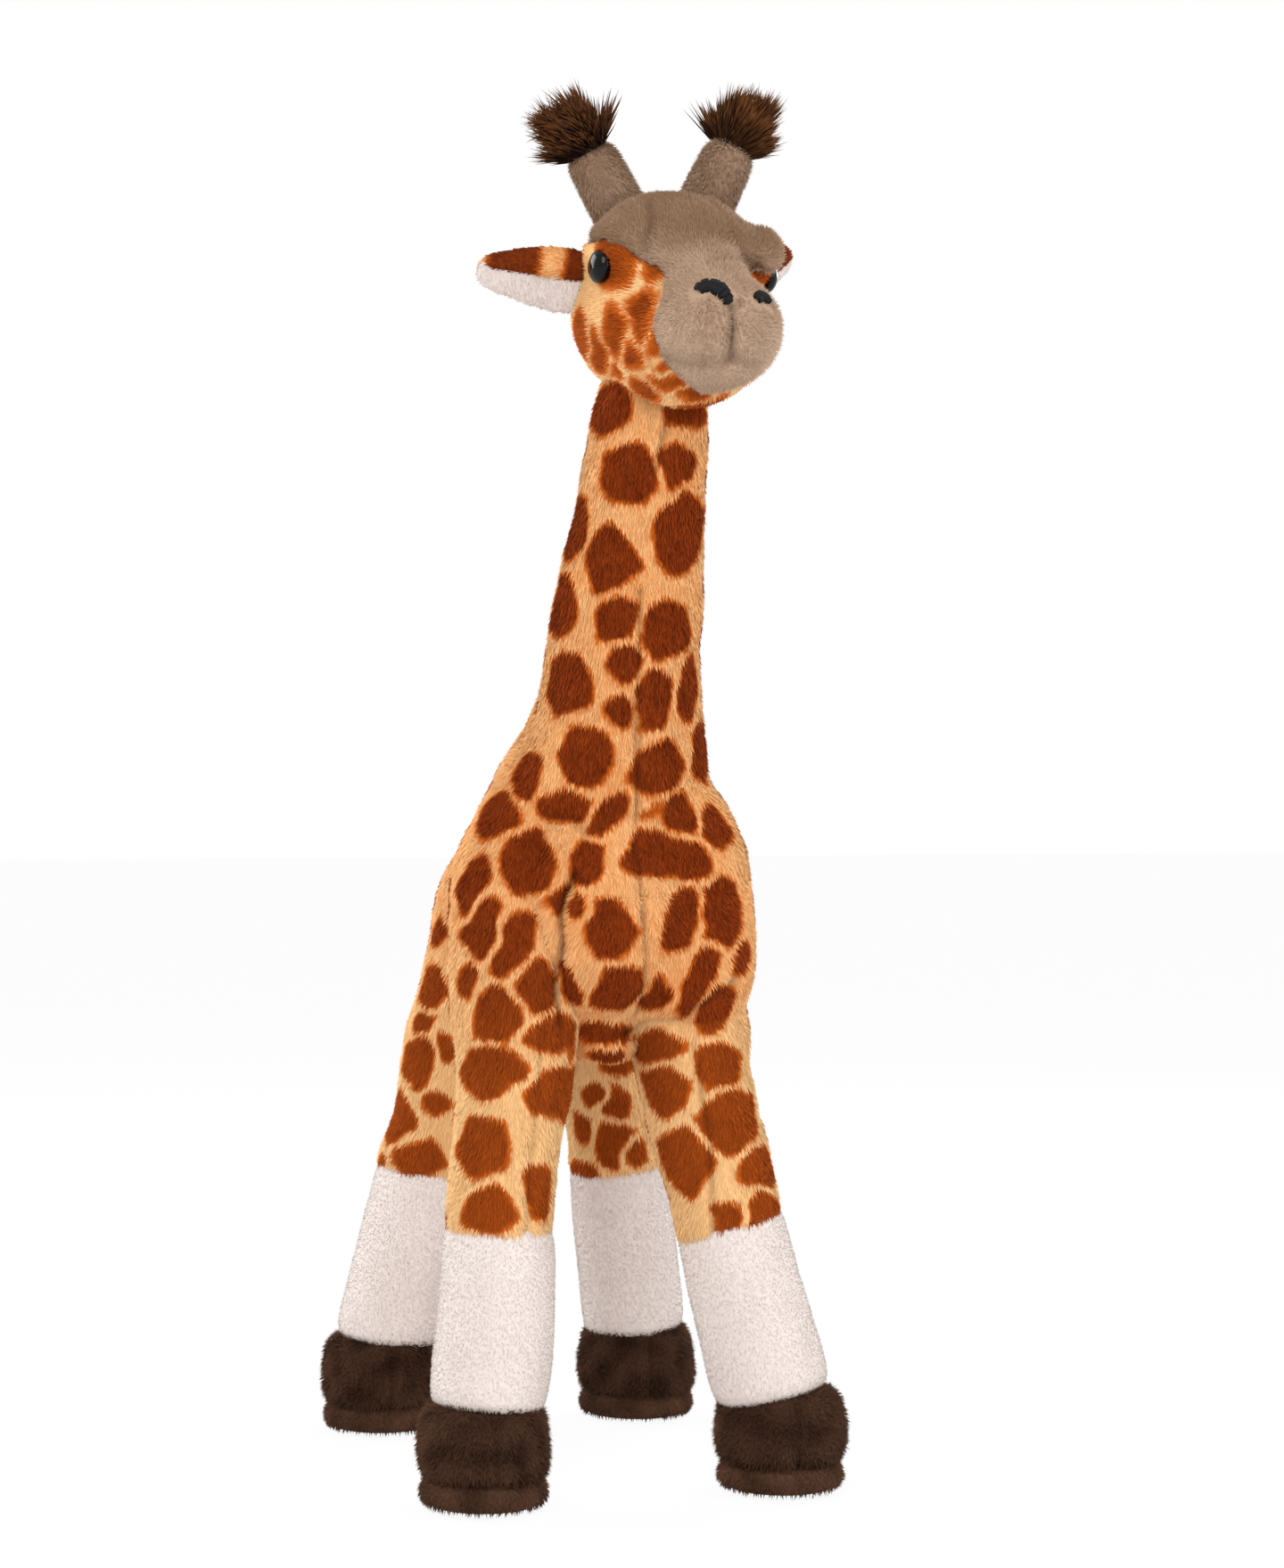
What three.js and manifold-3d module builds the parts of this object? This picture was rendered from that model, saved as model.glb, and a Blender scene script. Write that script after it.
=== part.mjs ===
// A stuffed toy giraffe standing on four legs, in millimetres, +Z up. It faces -Y, and +X is its own left.
// Every soft form is a fabric cover, open where it is sewn to the next one, round its own stuffing.
import * as THREE from "three";
import { mergeVertices } from "three/addons/utils/BufferGeometryUtils.js";
import Module from "manifold-3d";

const wasm = await Module();
wasm.setup();

// Driving dimensions
const coverThickness = 3; // backing cloth and the root of its pile
const sewnGap = 0.35; // between two pieces that are sewn, glued or packed together
const swingGap = 0.9; // between two pieces that move on each other
const cutOverrun = 2; // how far a cutter runs past what it cuts
const weldDistance = 0.0001; // corners nearer than this are one corner

const chestSide = -12; // the body stands a little askew over its hooves
const rumpSide = 8;
const chestReach = 122; // from the middle between front and rear hooves to the chest
const rumpReach = 112;
const torsoMiddle = 237; // height of the chest's middle
const torsoHalfWidth = 44;
const torsoHalfHeight = 51;
const torsoRound = 34; // how far each end takes to swell to its full section
const rumpDrop = 14;
const withers = { back: -62, height: 240, radius: 49 }; // the dome that carries the neck

const neckFoot = { back: -58, height: 246, halfWidth: 51, round: 18 };
const neckTop = { side: 3, back: -113, height: 452, round: 12 };
const neckBend = { low: -5, high: 8 }; // degrees, back and forward

const hoofSpan = 180; // front hooves to rear hooves, centre to centre
const sockTop = 106; // heights above the floor
const hoofTop = 38;
const soleTop = 11;
const hipHeight = 240;
const frontHipBack = -76;
const rearHipBack = 74;
const shoulderHalfWidth = 33;
const haunchHalfWidth = 27;
const legHalfDepth = 34;
const legRound = 36;
const shoulderRise = 40; // how far a leg's form goes on above its hip
const haunchRise = 20;
const hoofHalfWidth = 27.5;
const hoofHalfDepth = 29;
const hoofRound = 14;
const hoofTuckShare = 0.7; // how much of its rounding the sole's seam and the sock's seam take away
const soleHalfWidth = 25;
const soleRound = 15;
const solePressShare = 0.4; // how much of its rounding the floor takes away
const shinShare = { front: 0.71, rear: 0.83 }; // the shin against the shoulder or the haunch
const legSwing = { low: -12, high: 12 };

const headSeat = { side: 1, back: -9, height: 16 }; // the head's middle from the neck's top
const headPlace = {
  side: neckTop.side + headSeat.side,
  back: neckTop.back + headSeat.back,
  height: neckTop.height + headSeat.height,
};
const headTurned = 6; // degrees that it looks to its own left
const headTurn = { low: -35, high: 20 };
const cheek = { halfWidth: 38, halfDepth: 42, halfHeight: 35, height: -3 };
const crown = { halfWidth: 31, halfDepth: 35, halfHeight: 28, height: 19, back: 5 };
const muzzle = { halfWidth: 26, halfDepth: 27, halfHeight: 25.5, height: -12, back: -36 };
const faceSeam = { grow: 3, halfWidth: 16, back: 4 }; // where the taupe cloth meets the print

const eye = { radius: 6.5, bulge: 4, shankRadius: 2, shankLength: 6.5, back: -13, height: 14 };
const washer = { radius: 7, thickness: 1.2 };
const nostril = { side: 9.2, height: 11, halfWidth: 4.8, halfHeight: 2.2, proud: 0.7 };

const ossiconeRadius = 10.5;
const ossiconeLength = 31;
const ossiconeHeight = 34;
const ossiconeBack = 15;
const leftOssicone = { side: 23, splay: 14 };
const rightOssicone = { side: -14, splay: -34 };
const ossicones = [
  { name: "left", ...leftOssicone },
  { name: "right", ...rightOssicone },
];
const tuft = { halfWidth: 14, length: 34, sunk: 9, round: 15 };

const earLength = 46;
const earHalfWidth = 12.5;
const earHalfDepth = 4.2;
const earRoot = { side: 31, back: 12, height: 13 };
const earRound = 11;
const leftEar = { sweep: 34, lift: 8 }; // degrees back and up
const rightEar = { sweep: 18, lift: 6 };
const ears = [
  { name: "left", side: 1, ...leftEar },
  { name: "right", side: -1, ...rightEar },
];
const earFlop = { low: -25, high: 25 };
const liningShare = 0.86; // the lining against the ear's outer cloth

const tailRoot = { back: 104, height: 250 };
const tailTip = { back: 137, height: 172 };
const tailRadius = 5.5;
const tailTuft = { radius: 9, length: 44 };
const tailLift = { low: 0, high: 60 };

const maneHalfWidth = 5;
const maneHeight = 9;

// Cloth and plastic
const cloth = (name, color) => new THREE.MeshStandardMaterial({ name, color, roughness: 0.95, metalness: 0 });
const plastic = (name, color, roughness) => new THREE.MeshStandardMaterial({ name, color, roughness, metalness: 0 });
const printCloth = cloth("print_plush", "#d99d5c");
const taupeCloth = cloth("taupe_plush", "#a8917f");
const whiteCloth = cloth("white_plush", "#f1e9e3");
const hoofCloth = cloth("hoof_plush", "#4a342a");
const tuftCloth = cloth("tuft_pile", "#5c3418");
const blackThread = cloth("black_thread", "#1b1b1d");
const stuffing = cloth("polyester_fill", "#f5f2ec");
const pellets = cloth("pellet_bag", "#d8d0c2");
const eyePlastic = plastic("eye_plastic", "#101216", 0.08);
const washerPlastic = plastic("washer_plastic", "#e8e8e2", 0.5);

const toy = new THREE.Group();
const head = new THREE.Group();
head.position.set(headPlace.side, headPlace.back, headPlace.height);
head.rotation.z = THREE.MathUtils.degToRad(headTurned);
head.updateMatrix();
toy.add(head);

const point = (x, y, z) => new THREE.Vector3(x, y, z);
const sideAxis = point(1, 0, 0);
const upAxis = point(0, 0, 1);
const downAxis = point(0, 0, -1);

// A closed geometry as a solid that can be cut and joined.
function solidOf(geometry) {
  const bare = geometry.clone();
  bare.deleteAttribute("normal");
  bare.deleteAttribute("uv");
  const merged = mergeVertices(bare, weldDistance);
  return new wasm.Manifold(
    new wasm.Mesh({
      numProp: 3,
      vertProperties: merged.attributes.position.array,
      triVerts: new Uint32Array(merged.index.array),
    }),
  );
}

function geometryOf(solid) {
  const mesh = solid.getMesh();
  const geometry = new THREE.BufferGeometry();
  geometry.setAttribute("position", new THREE.BufferAttribute(new Float32Array(mesh.vertProperties), 3));
  geometry.setIndex(new THREE.BufferAttribute(new Uint32Array(mesh.triVerts), 1));
  geometry.computeVertexNormals();
  return geometry;
}

function place(group, name, solid, material) {
  const mesh = new THREE.Mesh(geometryOf(solid), material);
  mesh.name = name;
  group.add(mesh);
}

const moved = (solid, matrix) => solid.transform(matrix.elements);
const above = (solid, height) => solid.trimByPlane(upAxis.toArray(), height);
const below = (solid, height) => solid.trimByPlane(downAxis.toArray(), -height);

// A turn about an axis through a point, in degrees.
function turnAbout(centre, axis, degrees) {
  const turn = new THREE.Matrix4().makeRotationAxis(axis, THREE.MathUtils.degToRad(degrees));
  const back = new THREE.Matrix4().makeTranslation(-centre.x, -centre.y, -centre.z);
  return new THREE.Matrix4().makeTranslation(centre.x, centre.y, centre.z).multiply(turn).multiply(back);
}

// The room that a solid takes, seen from a piece that swings beside it.
function swept(solid, centre, axis, range) {
  let room = solid;
  for (const degrees of [range.low, range.low / 2, range.high / 2, range.high]) {
    if (degrees !== 0) room = room.add(moved(solid, turnAbout(centre, axis, -degrees)));
  }
  return room;
}

// Reads a column of a table of shares at a place along it, eased between its rows.
function shareAt(rows, column, along) {
  let i = 0;
  while (i < rows.length - 2 && rows[i + 1][0] < along) i += 1;
  const [from, to] = [rows[i], rows[i + 1]];
  const t = THREE.MathUtils.smoothstep(along, from[0], to[0]);
  return THREE.MathUtils.lerp(from[column], to[column], t);
}

// A stuffed form: a sphere drawn out from its start to its end, which swells, tapers and bends as its table says.
// Each row holds the place along the form, its half width and half depth there, and how far its middle lies
// aside, all as shares of the form's own length, half width and half depth.
const ringShare = 0.75; // 0 spaces the rings evenly, 1 crowds them at both ends
function softForm(form, grow = 0) {
  const run = new THREE.Vector3().subVectors(form.end, form.start);
  const length = run.length();
  const along = run.normalize();
  const deepWay = new THREE.Vector3().crossVectors(along, form.flatWay ?? sideAxis).normalize();
  const wideWay = new THREE.Vector3().crossVectors(deepWay, along);
  const geometry = new THREE.SphereGeometry(1, form.sides, form.rings);
  const corners = geometry.attributes.position;
  for (let i = 0; i < corners.count; i += 1) {
    const turn = Math.acos(THREE.MathUtils.clamp(corners.getY(i), -1, 1)) / Math.PI;
    const share = THREE.MathUtils.lerp(turn, (1 - Math.cos(turn * Math.PI)) / 2, ringShare);
    const fromStart = Math.min(1, (share * length) / form.roundStart);
    const fromEnd = Math.min(1, ((1 - share) * length) / form.roundEnd);
    const swell = Math.sqrt((1 - (1 - fromStart) ** 2) * (1 - (1 - fromEnd) ** 2));
    const width = (form.halfWidth * shareAt(form.shares, 1, share) + grow) * swell;
    const depth = (form.halfDepth * shareAt(form.shares, 2, share) + grow) * swell;
    const aside = form.halfWidth * shareAt(form.shares, 3, share);
    const ring = Math.hypot(corners.getX(i), corners.getZ(i)) || 1;
    const corner = form.start.clone().addScaledVector(along, share * length + grow * (2 * share - 1));
    corner.addScaledVector(wideWay, aside + (width * corners.getX(i)) / ring);
    corner.addScaledVector(deepWay, (depth * corners.getZ(i)) / ring);
    corners.setXYZ(i, corner.x, corner.y, corner.z);
  }
  return solidOf(geometry);
}

// One rounded lobe of the head, about the head's own centre.
const lobeSides = 12;
const lobeRings = 8;
function lobe(size, grow = 0) {
  const geometry = new THREE.SphereGeometry(1, lobeSides, lobeRings);
  geometry.rotateX(Math.PI / 2);
  geometry.scale(size.halfWidth + grow, size.halfDepth + grow, size.halfHeight + grow);
  geometry.translate(0, size.back ?? 0, size.height);
  return solidOf(geometry);
}

function ball(centre, radius) {
  const geometry = new THREE.SphereGeometry(radius, lobeSides, lobeRings);
  geometry.translate(centre.x, centre.y, centre.z);
  return solidOf(geometry);
}

// A round piece turned from its outline, with its axis along a direction and its zero at a point.
const turnedSides = 12;
function turned(outline, origin, direction) {
  const geometry = new THREE.LatheGeometry(outline, turnedSides);
  geometry.applyQuaternion(new THREE.Quaternion().setFromUnitVectors(point(0, 1, 0), direction));
  geometry.translate(origin.x, origin.y, origin.z);
  return solidOf(geometry);
}

// Torso
const torsoForm = {
  start: point(chestSide, -chestReach, torsoMiddle),
  end: point(rumpSide, rumpReach, torsoMiddle - rumpDrop),
  halfWidth: torsoHalfWidth,
  halfDepth: torsoHalfHeight,
  roundStart: torsoRound,
  roundEnd: torsoRound,
  sides: 12,
  rings: 8,
  shares: [
    [0, 0.84, 0.86, 0],
    [0.28, 1, 1, 0],
    [0.55, 0.97, 0.88, 0],
    [0.82, 0.98, 0.9, 0],
    [1, 0.84, 0.82, 0],
  ],
};
const withersShare = (withers.back + chestReach) / (rumpReach + chestReach);
const withersPlace = point(THREE.MathUtils.lerp(chestSide, rumpSide, withersShare), withers.back, withers.height);
const torsoSolid = (grow = 0) => softForm(torsoForm, grow).add(ball(withersPlace, withers.radius + grow));

// Neck
const neckForm = {
  start: point(withersPlace.x, neckFoot.back, neckFoot.height),
  end: point(neckTop.side, neckTop.back, neckTop.height),
  halfWidth: neckFoot.halfWidth,
  halfDepth: neckFoot.halfWidth,
  roundStart: neckFoot.round,
  roundEnd: neckTop.round,
  sides: 12,
  rings: 8,
  shares: [
    [0, 1, 1, 0],
    [0.14, 0.93, 0.93, 0],
    [0.3, 0.74, 0.78, 0],
    [0.5, 0.66, 0.68, -0.02],
    [0.72, 0.58, 0.58, 0],
    [0.86, 0.52, 0.52, 0],
    [1, 0.5, 0.5, 0],
  ],
};
const neckAxis = new THREE.Vector3().subVectors(neckForm.end, neckForm.start).normalize();

// Legs, each on its own hoof. The middle of the thigh bows aside by a share of its half width.
const legs = [
  { name: "front_left", front: true, hoofSide: 62, hipSide: 17, bowShare: -0.12 },
  { name: "front_right", front: true, hoofSide: -61, hipSide: -40, bowShare: 0.02 },
  { name: "rear_left", front: false, hoofSide: 56, hipSide: 29, bowShare: -0.06 },
  { name: "rear_right", front: false, hoofSide: -61, hipSide: -13, bowShare: -0.04 },
];
const hipOf = (leg) => point(leg.hipSide, leg.front ? frontHipBack : rearHipBack, hipHeight);
const hoofOf = (leg, height) => point(leg.hoofSide, leg.front ? -hoofSpan / 2 : hoofSpan / 2, height);

function legForm(leg) {
  const start = hoofOf(leg, hoofTop - cutOverrun);
  const along = new THREE.Vector3().subVectors(hipOf(leg), start);
  const top = hipHeight + (leg.front ? shoulderRise : haunchRise);
  along.multiplyScalar((top - start.z) / along.z);
  const slimShare = leg.front ? shinShare.front : shinShare.rear;
  return {
    start,
    end: along.add(start),
    halfWidth: leg.front ? shoulderHalfWidth : haunchHalfWidth,
    halfDepth: legHalfDepth,
    roundStart: cutOverrun,
    roundEnd: legRound,
    sides: 10,
    rings: 8,
    shares: [
      [0, slimShare, 0.72, 0],
      [0.3, slimShare, 0.71, leg.bowShare / 2],
      [0.55, (slimShare * 2 + 1) / 3, 0.83, leg.bowShare],
      [0.8, 1, 1, 0],
      [1, 1, 1, 0],
    ],
  };
}

const hoofForm = (leg) => ({
  start: hoofOf(leg, soleTop - hoofRound * hoofTuckShare),
  end: hoofOf(leg, hoofTop + hoofRound * (1 - hoofTuckShare)),
  halfWidth: hoofHalfWidth,
  halfDepth: hoofHalfDepth,
  roundStart: hoofRound,
  roundEnd: hoofRound,
  sides: 10,
  rings: 6,
  shares: [
    [0, 1, 1, 0],
    [1, 1, 1, 0],
  ],
});

const soleForm = (leg) => ({
  ...hoofForm(leg),
  start: hoofOf(leg, -soleRound * solePressShare),
  end: hoofOf(leg, soleTop + soleRound),
  halfWidth: soleHalfWidth,
  halfDepth: soleHalfWidth + hoofHalfDepth - hoofHalfWidth,
  roundStart: soleRound,
  roundEnd: soleRound,
  rings: 6,
});

// Head, about its own centre
const headSolid = (grow = 0) => lobe(cheek, grow).add(lobe(crown, grow)).add(lobe(muzzle, grow));
const intoHead = head.matrix.clone().invert();
const neckInHead = (grow) => moved(softForm(neckForm, grow), intoHead);

function faceRegion(grow) {
  const height = crown.height + crown.halfHeight + cutOverrun;
  const reach = muzzle.halfDepth - muzzle.back + faceSeam.back;
  const band = new THREE.BoxGeometry((faceSeam.halfWidth + grow) * 2, reach + grow, height + grow);
  band.translate(0, faceSeam.back - reach / 2 + grow / 2, (height - grow) / 2);
  return lobe(muzzle, faceSeam.grow + grow).add(solidOf(band));
}

// Where a cheek's surface lies at a place seen from the side, and which way it faces there.
function cheekSurface(side, back, height) {
  const rise = height - cheek.height;
  const out = Math.sqrt(1 - (back / cheek.halfDepth) ** 2 - (rise / cheek.halfHeight) ** 2) * cheek.halfWidth;
  const facing = point(out / cheek.halfWidth ** 2, back / cheek.halfDepth ** 2, rise / cheek.halfHeight ** 2);
  return {
    at: point(out * side, back, height),
    facing: facing.multiply(point(side, 1, 1)).normalize(),
  };
}

function eyeSolid(side, grow) {
  const surface = cheekSurface(side, eye.back, eye.height);
  const dome = new THREE.EllipseCurve(0, 0, eye.radius + grow, eye.bulge + grow, 0, Math.PI / 2).getPoints(4);
  const outline = [
    new THREE.Vector2(0, -eye.shankLength - grow),
    new THREE.Vector2(eye.shankRadius + grow, -eye.shankLength - grow),
    new THREE.Vector2(eye.shankRadius + grow, -grow),
    new THREE.Vector2(eye.radius + grow, -grow),
    ...dome.slice(0, -1),
    new THREE.Vector2(0, eye.bulge + grow),
  ];
  return turned(outline, surface.at, surface.facing);
}

const washerSag = washer.radius ** 2 / (cheek.halfHeight - coverThickness); // a flat disc in a round hollow
const washerFloor = -coverThickness - washerSag - sewnGap - washer.thickness;

function washerSolid(side) {
  const surface = cheekSurface(side, eye.back, eye.height);
  const hole = eye.shankRadius + sewnGap;
  const outline = [
    new THREE.Vector2(hole, washerFloor),
    new THREE.Vector2(washer.radius, washerFloor),
    new THREE.Vector2(washer.radius, washerFloor + washer.thickness),
    new THREE.Vector2(hole, washerFloor + washer.thickness),
    new THREE.Vector2(hole, washerFloor),
  ];
  return turned(outline, surface.at, surface.facing);
}

// The room a washer takes, up to a height above the cheek's surface.
function washerRoom(side, top) {
  const surface = cheekSurface(side, eye.back, eye.height);
  const outline = [
    new THREE.Vector2(0, washerFloor - sewnGap),
    new THREE.Vector2(washer.radius + sewnGap, washerFloor - sewnGap),
    new THREE.Vector2(washer.radius + sewnGap, top),
    new THREE.Vector2(0, top),
  ];
  return turned(outline, surface.at, surface.facing);
}

function nostrilSolid(side) {
  const pad = new THREE.SphereGeometry(1, 10, 6);
  const share = Math.sqrt(1 - (nostril.side / muzzle.halfWidth) ** 2 - (nostril.height / muzzle.halfHeight) ** 2);
  pad.scale(nostril.halfWidth, nostril.halfHeight + nostril.proud, nostril.halfHeight);
  pad.translate(nostril.side * side, muzzle.back - muzzle.halfDepth * share, muzzle.height + nostril.height);
  return solidOf(pad).subtract(lobe(muzzle, sewnGap));
}

function ossiconeForm(horn) {
  const root = point(horn.side, ossiconeBack, ossiconeHeight);
  const lean = THREE.MathUtils.degToRad(horn.splay);
  const way = point(Math.sin(lean), 0, Math.cos(lean));
  return {
    start: root,
    end: root.clone().addScaledVector(way, ossiconeLength),
    halfWidth: ossiconeRadius,
    halfDepth: ossiconeRadius,
    roundStart: ossiconeRadius,
    roundEnd: ossiconeRadius,
    sides: 10,
    rings: 6,
    shares: [
      [0, 1.1, 1.1, 0],
      [1, 0.9, 0.9, 0],
    ],
  };
}

function tuftForm(horn) {
  const stem = ossiconeForm(horn);
  const way = new THREE.Vector3().subVectors(stem.end, stem.start).normalize();
  const start = stem.end.clone().addScaledVector(way, -tuft.sunk);
  return {
    ...stem,
    start,
    end: start.clone().addScaledVector(way, tuft.length),
    halfWidth: tuft.halfWidth,
    halfDepth: tuft.halfWidth,
    roundStart: tuft.round,
    roundEnd: tuft.round,
    shares: [
      [0, 0.9, 0.9, 0],
      [0.6, 1, 1, 0],
      [1, 0.8, 0.8, 0],
    ],
  };
}

// Ears: leaf shapes, printed cloth behind and white lining in front.
function earPlace(ear) {
  const sweep = THREE.MathUtils.degToRad(ear.sweep);
  const lift = THREE.MathUtils.degToRad(ear.lift);
  const way = point(Math.cos(sweep) * ear.side, Math.sin(sweep), Math.tan(lift)).normalize();
  const root = point(earRoot.side * ear.side, earRoot.back, earRoot.height);
  const deepWay = new THREE.Vector3().crossVectors(way, upAxis).normalize();
  const backWay = deepWay.multiplyScalar(Math.sign(deepWay.y));
  return { root, way, backWay };
}

function earForm(ear, share) {
  const { root, way } = earPlace(ear);
  return {
    start: root,
    end: root.clone().addScaledVector(way, earLength * share),
    flatWay: upAxis,
    halfWidth: earHalfWidth * share,
    halfDepth: earHalfDepth,
    roundStart: earRound,
    roundEnd: earRound,
    sides: 10,
    rings: 7,
    shares: [
      [0, 0.7, 1, 0],
      [0.35, 1, 1, 0],
      [0.7, 0.8, 0.85, 0],
      [1, 0.4, 0.6, 0],
    ],
  };
}

// Tail, hanging behind
const tailForm = {
  start: point(rumpSide, tailRoot.back, tailRoot.height),
  end: point(rumpSide, tailTip.back, tailTip.height),
  halfWidth: tailRadius,
  halfDepth: tailRadius,
  roundStart: tailRadius,
  roundEnd: tailRadius,
  sides: 8,
  rings: 8,
  shares: [
    [0, 1.25, 1.25, 0],
    [1, 0.75, 0.75, 0],
  ],
};
const tailWay = new THREE.Vector3().subVectors(tailForm.end, tailForm.start).normalize();
const tailTuftForm = {
  ...tailForm,
  start: tailForm.end.clone().addScaledVector(tailWay, -tailTuft.radius),
  end: tailForm.end.clone().addScaledVector(tailWay, tailTuft.length - tailTuft.radius),
  halfWidth: tailTuft.radius,
  halfDepth: tailTuft.radius,
  roundStart: tailTuft.radius,
  roundEnd: tailTuft.length / 2,
  shares: [
    [0, 0.9, 0.9, 0],
    [1, 1, 1, 0],
  ],
};

// The rooms that the moving pieces need
const torsoRoom = torsoSolid(swingGap);
const neckRoom = swept(softForm(neckForm, swingGap), withersPlace, sideAxis, {
  low: -neckBend.low,
  high: -neckBend.high,
});
const headRoom = moved(headSolid(swingGap), head.matrix);

// The torso's cloth is open where the neck and the legs are sewn on.
const openingCount = { sides: 7, rings: 6 };
function addTorso() {
  const fill = torsoSolid(-coverThickness - sewnGap);
  let cover = torsoSolid().subtract(torsoSolid(-coverThickness));
  cover = cover.subtract(softForm({ ...neckForm, ...openingCount }, -coverThickness * 2));
  for (const leg of legs) cover = cover.subtract(softForm({ ...legForm(leg), ...openingCount }, -coverThickness * 3));
  place(toy, "torso_cover", cover, printCloth);
  place(toy, "torso_stuffing", fill, stuffing);
}

function addNeck() {
  const carrier = swept(torsoRoom, withersPlace, sideAxis, neckBend);
  const shell = softForm(neckForm).subtract(softForm(neckForm, -coverThickness)).subtract(carrier);
  const fill = softForm(neckForm, -coverThickness - sewnGap).subtract(carrier);
  // The cover ends inside the head, and the stuffing goes on to the neck's own end.
  place(toy, "neck_cover", below(shell, neckTop.height - neckTop.round), printCloth);
  place(toy, "neck_stuffing", fill, stuffing);

  const maneForm = {
    ...neckForm,
    halfWidth: maneHalfWidth,
    sides: 8,
    shares: neckForm.shares.map(([along, , depth]) => [along, 1, depth + maneHeight / neckFoot.halfWidth, 0]),
  };
  const headSwept = swept(headRoom, neckForm.end, neckAxis, { low: -headTurn.low, high: -headTurn.high });
  const mane = softForm(maneForm).subtract(softForm(neckForm, sewnGap)).subtract(carrier).subtract(headSwept);
  const behind = new THREE.Vector3().crossVectors(sideAxis, neckAxis).negate();
  place(toy, "mane", mane.trimByPlane(behind.toArray(), behind.dot(neckForm.start)), tuftCloth);
}

function addLeg(leg) {
  const form = legForm(leg);
  const carrier = swept(torsoRoom.add(neckRoom), hipOf(leg), sideAxis, legSwing);
  const shell = softForm(form).subtract(softForm(form, -coverThickness)).subtract(carrier);
  const fill = softForm(form, -coverThickness - sewnGap).subtract(carrier);
  place(toy, `${leg.name}_leg_cover`, above(shell, sockTop + sewnGap), printCloth);
  place(toy, `${leg.name}_sock`, above(below(shell, sockTop), hoofTop + sewnGap), whiteCloth);
  place(toy, `${leg.name}_leg_stuffing`, above(fill, hoofTop + sewnGap), stuffing);

  const hoof = softForm(hoofForm(leg)).subtract(softForm(hoofForm(leg), -coverThickness));
  const ring = above(hoof.subtract(softForm(form, sewnGap)), soleTop + sewnGap);
  const bag = above(softForm(hoofForm(leg), -coverThickness - sewnGap), soleTop + sewnGap);
  const sole = below(above(softForm(soleForm(leg)), 0), soleTop);
  place(toy, `${leg.name}_hoof_cover`, ring, hoofCloth);
  place(toy, `${leg.name}_hoof_pellets`, below(bag, hoofTop - cutOverrun - sewnGap), pellets);
  place(toy, `${leg.name}_sole`, sole, hoofCloth);
}

function addHead() {
  const shell = headSolid().subtract(headSolid(-coverThickness)).subtract(neckInHead(swingGap));
  const bothEyes = eyeSolid(1, sewnGap).add(eyeSolid(-1, sewnGap));
  const bothRooms = washerRoom(1, coverThickness).add(washerRoom(-1, coverThickness));
  const seatTop = washerFloor + washer.thickness + sewnGap;
  const cover = shell.subtract(bothEyes).subtract(washerRoom(1, seatTop)).subtract(washerRoom(-1, seatTop));
  const fill = headSolid(-coverThickness - sewnGap).subtract(neckInHead(swingGap));
  place(head, "head_cover", cover.subtract(faceRegion(sewnGap)), printCloth);
  place(head, "face_cover", cover.intersect(faceRegion(0)), taupeCloth);
  place(head, "head_stuffing", fill.subtract(bothEyes).subtract(bothRooms), stuffing);
  for (const [name, side] of [["left", 1], ["right", -1]]) {
    place(head, `${name}_eye`, eyeSolid(side, 0), eyePlastic);
    place(head, `${name}_eye_washer`, washerSolid(side), washerPlastic);
    place(head, `${name}_nostril`, nostrilSolid(side), blackThread);
  }
}

function addOssicones() {
  for (const horn of ossicones) {
    const stem = softForm(ossiconeForm(horn));
    place(head, `${horn.name}_ossicone`, stem.subtract(headSolid(sewnGap)), taupeCloth);
    const pile = softForm(tuftForm(horn)).subtract(softForm(ossiconeForm(horn), sewnGap));
    place(head, `${horn.name}_ossicone_tuft`, pile.subtract(headSolid(sewnGap)), tuftCloth);
  }
}

function addEars() {
  for (const ear of ears) {
    const { root, backWay } = earPlace(ear);
    const carrier = swept(headSolid(swingGap), root, backWay, earFlop);
    const middle = backWay.dot(root);
    const outer = softForm(earForm(ear, 1)).subtract(carrier);
    const lining = softForm(earForm(ear, liningShare)).subtract(carrier);
    const front = backWay.clone().negate().toArray();
    place(head, `${ear.name}_ear_back`, outer.trimByPlane(backWay.toArray(), middle + sewnGap / 2), printCloth);
    place(head, `${ear.name}_ear_lining`, lining.trimByPlane(front, sewnGap / 2 - middle), whiteCloth);
  }
}

function addTail() {
  const carrier = swept(torsoRoom, tailForm.start, sideAxis, tailLift);
  const cord = softForm(tailForm).subtract(carrier);
  const tuftPile = softForm(tailTuftForm).subtract(softForm(tailForm, sewnGap));
  place(toy, "tail", cord, printCloth);
  place(toy, "tail_tuft", tuftPile, tuftCloth);
}

addTorso();
addNeck();
for (const leg of legs) addLeg(leg);
addHead();
addOssicones();
addEars();
addTail();

// The toy stands with the middle of its outline on the origin.
const outline = new THREE.Box3().setFromObject(toy);
const middle = outline.getCenter(new THREE.Vector3());
toy.position.set(-middle.x, -middle.y, 0);

export default toy;
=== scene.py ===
import math

import bmesh
import bpy
import numpy as np
from mathutils import Matrix, Vector
from mathutils.bvhtree import BVHTree


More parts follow.
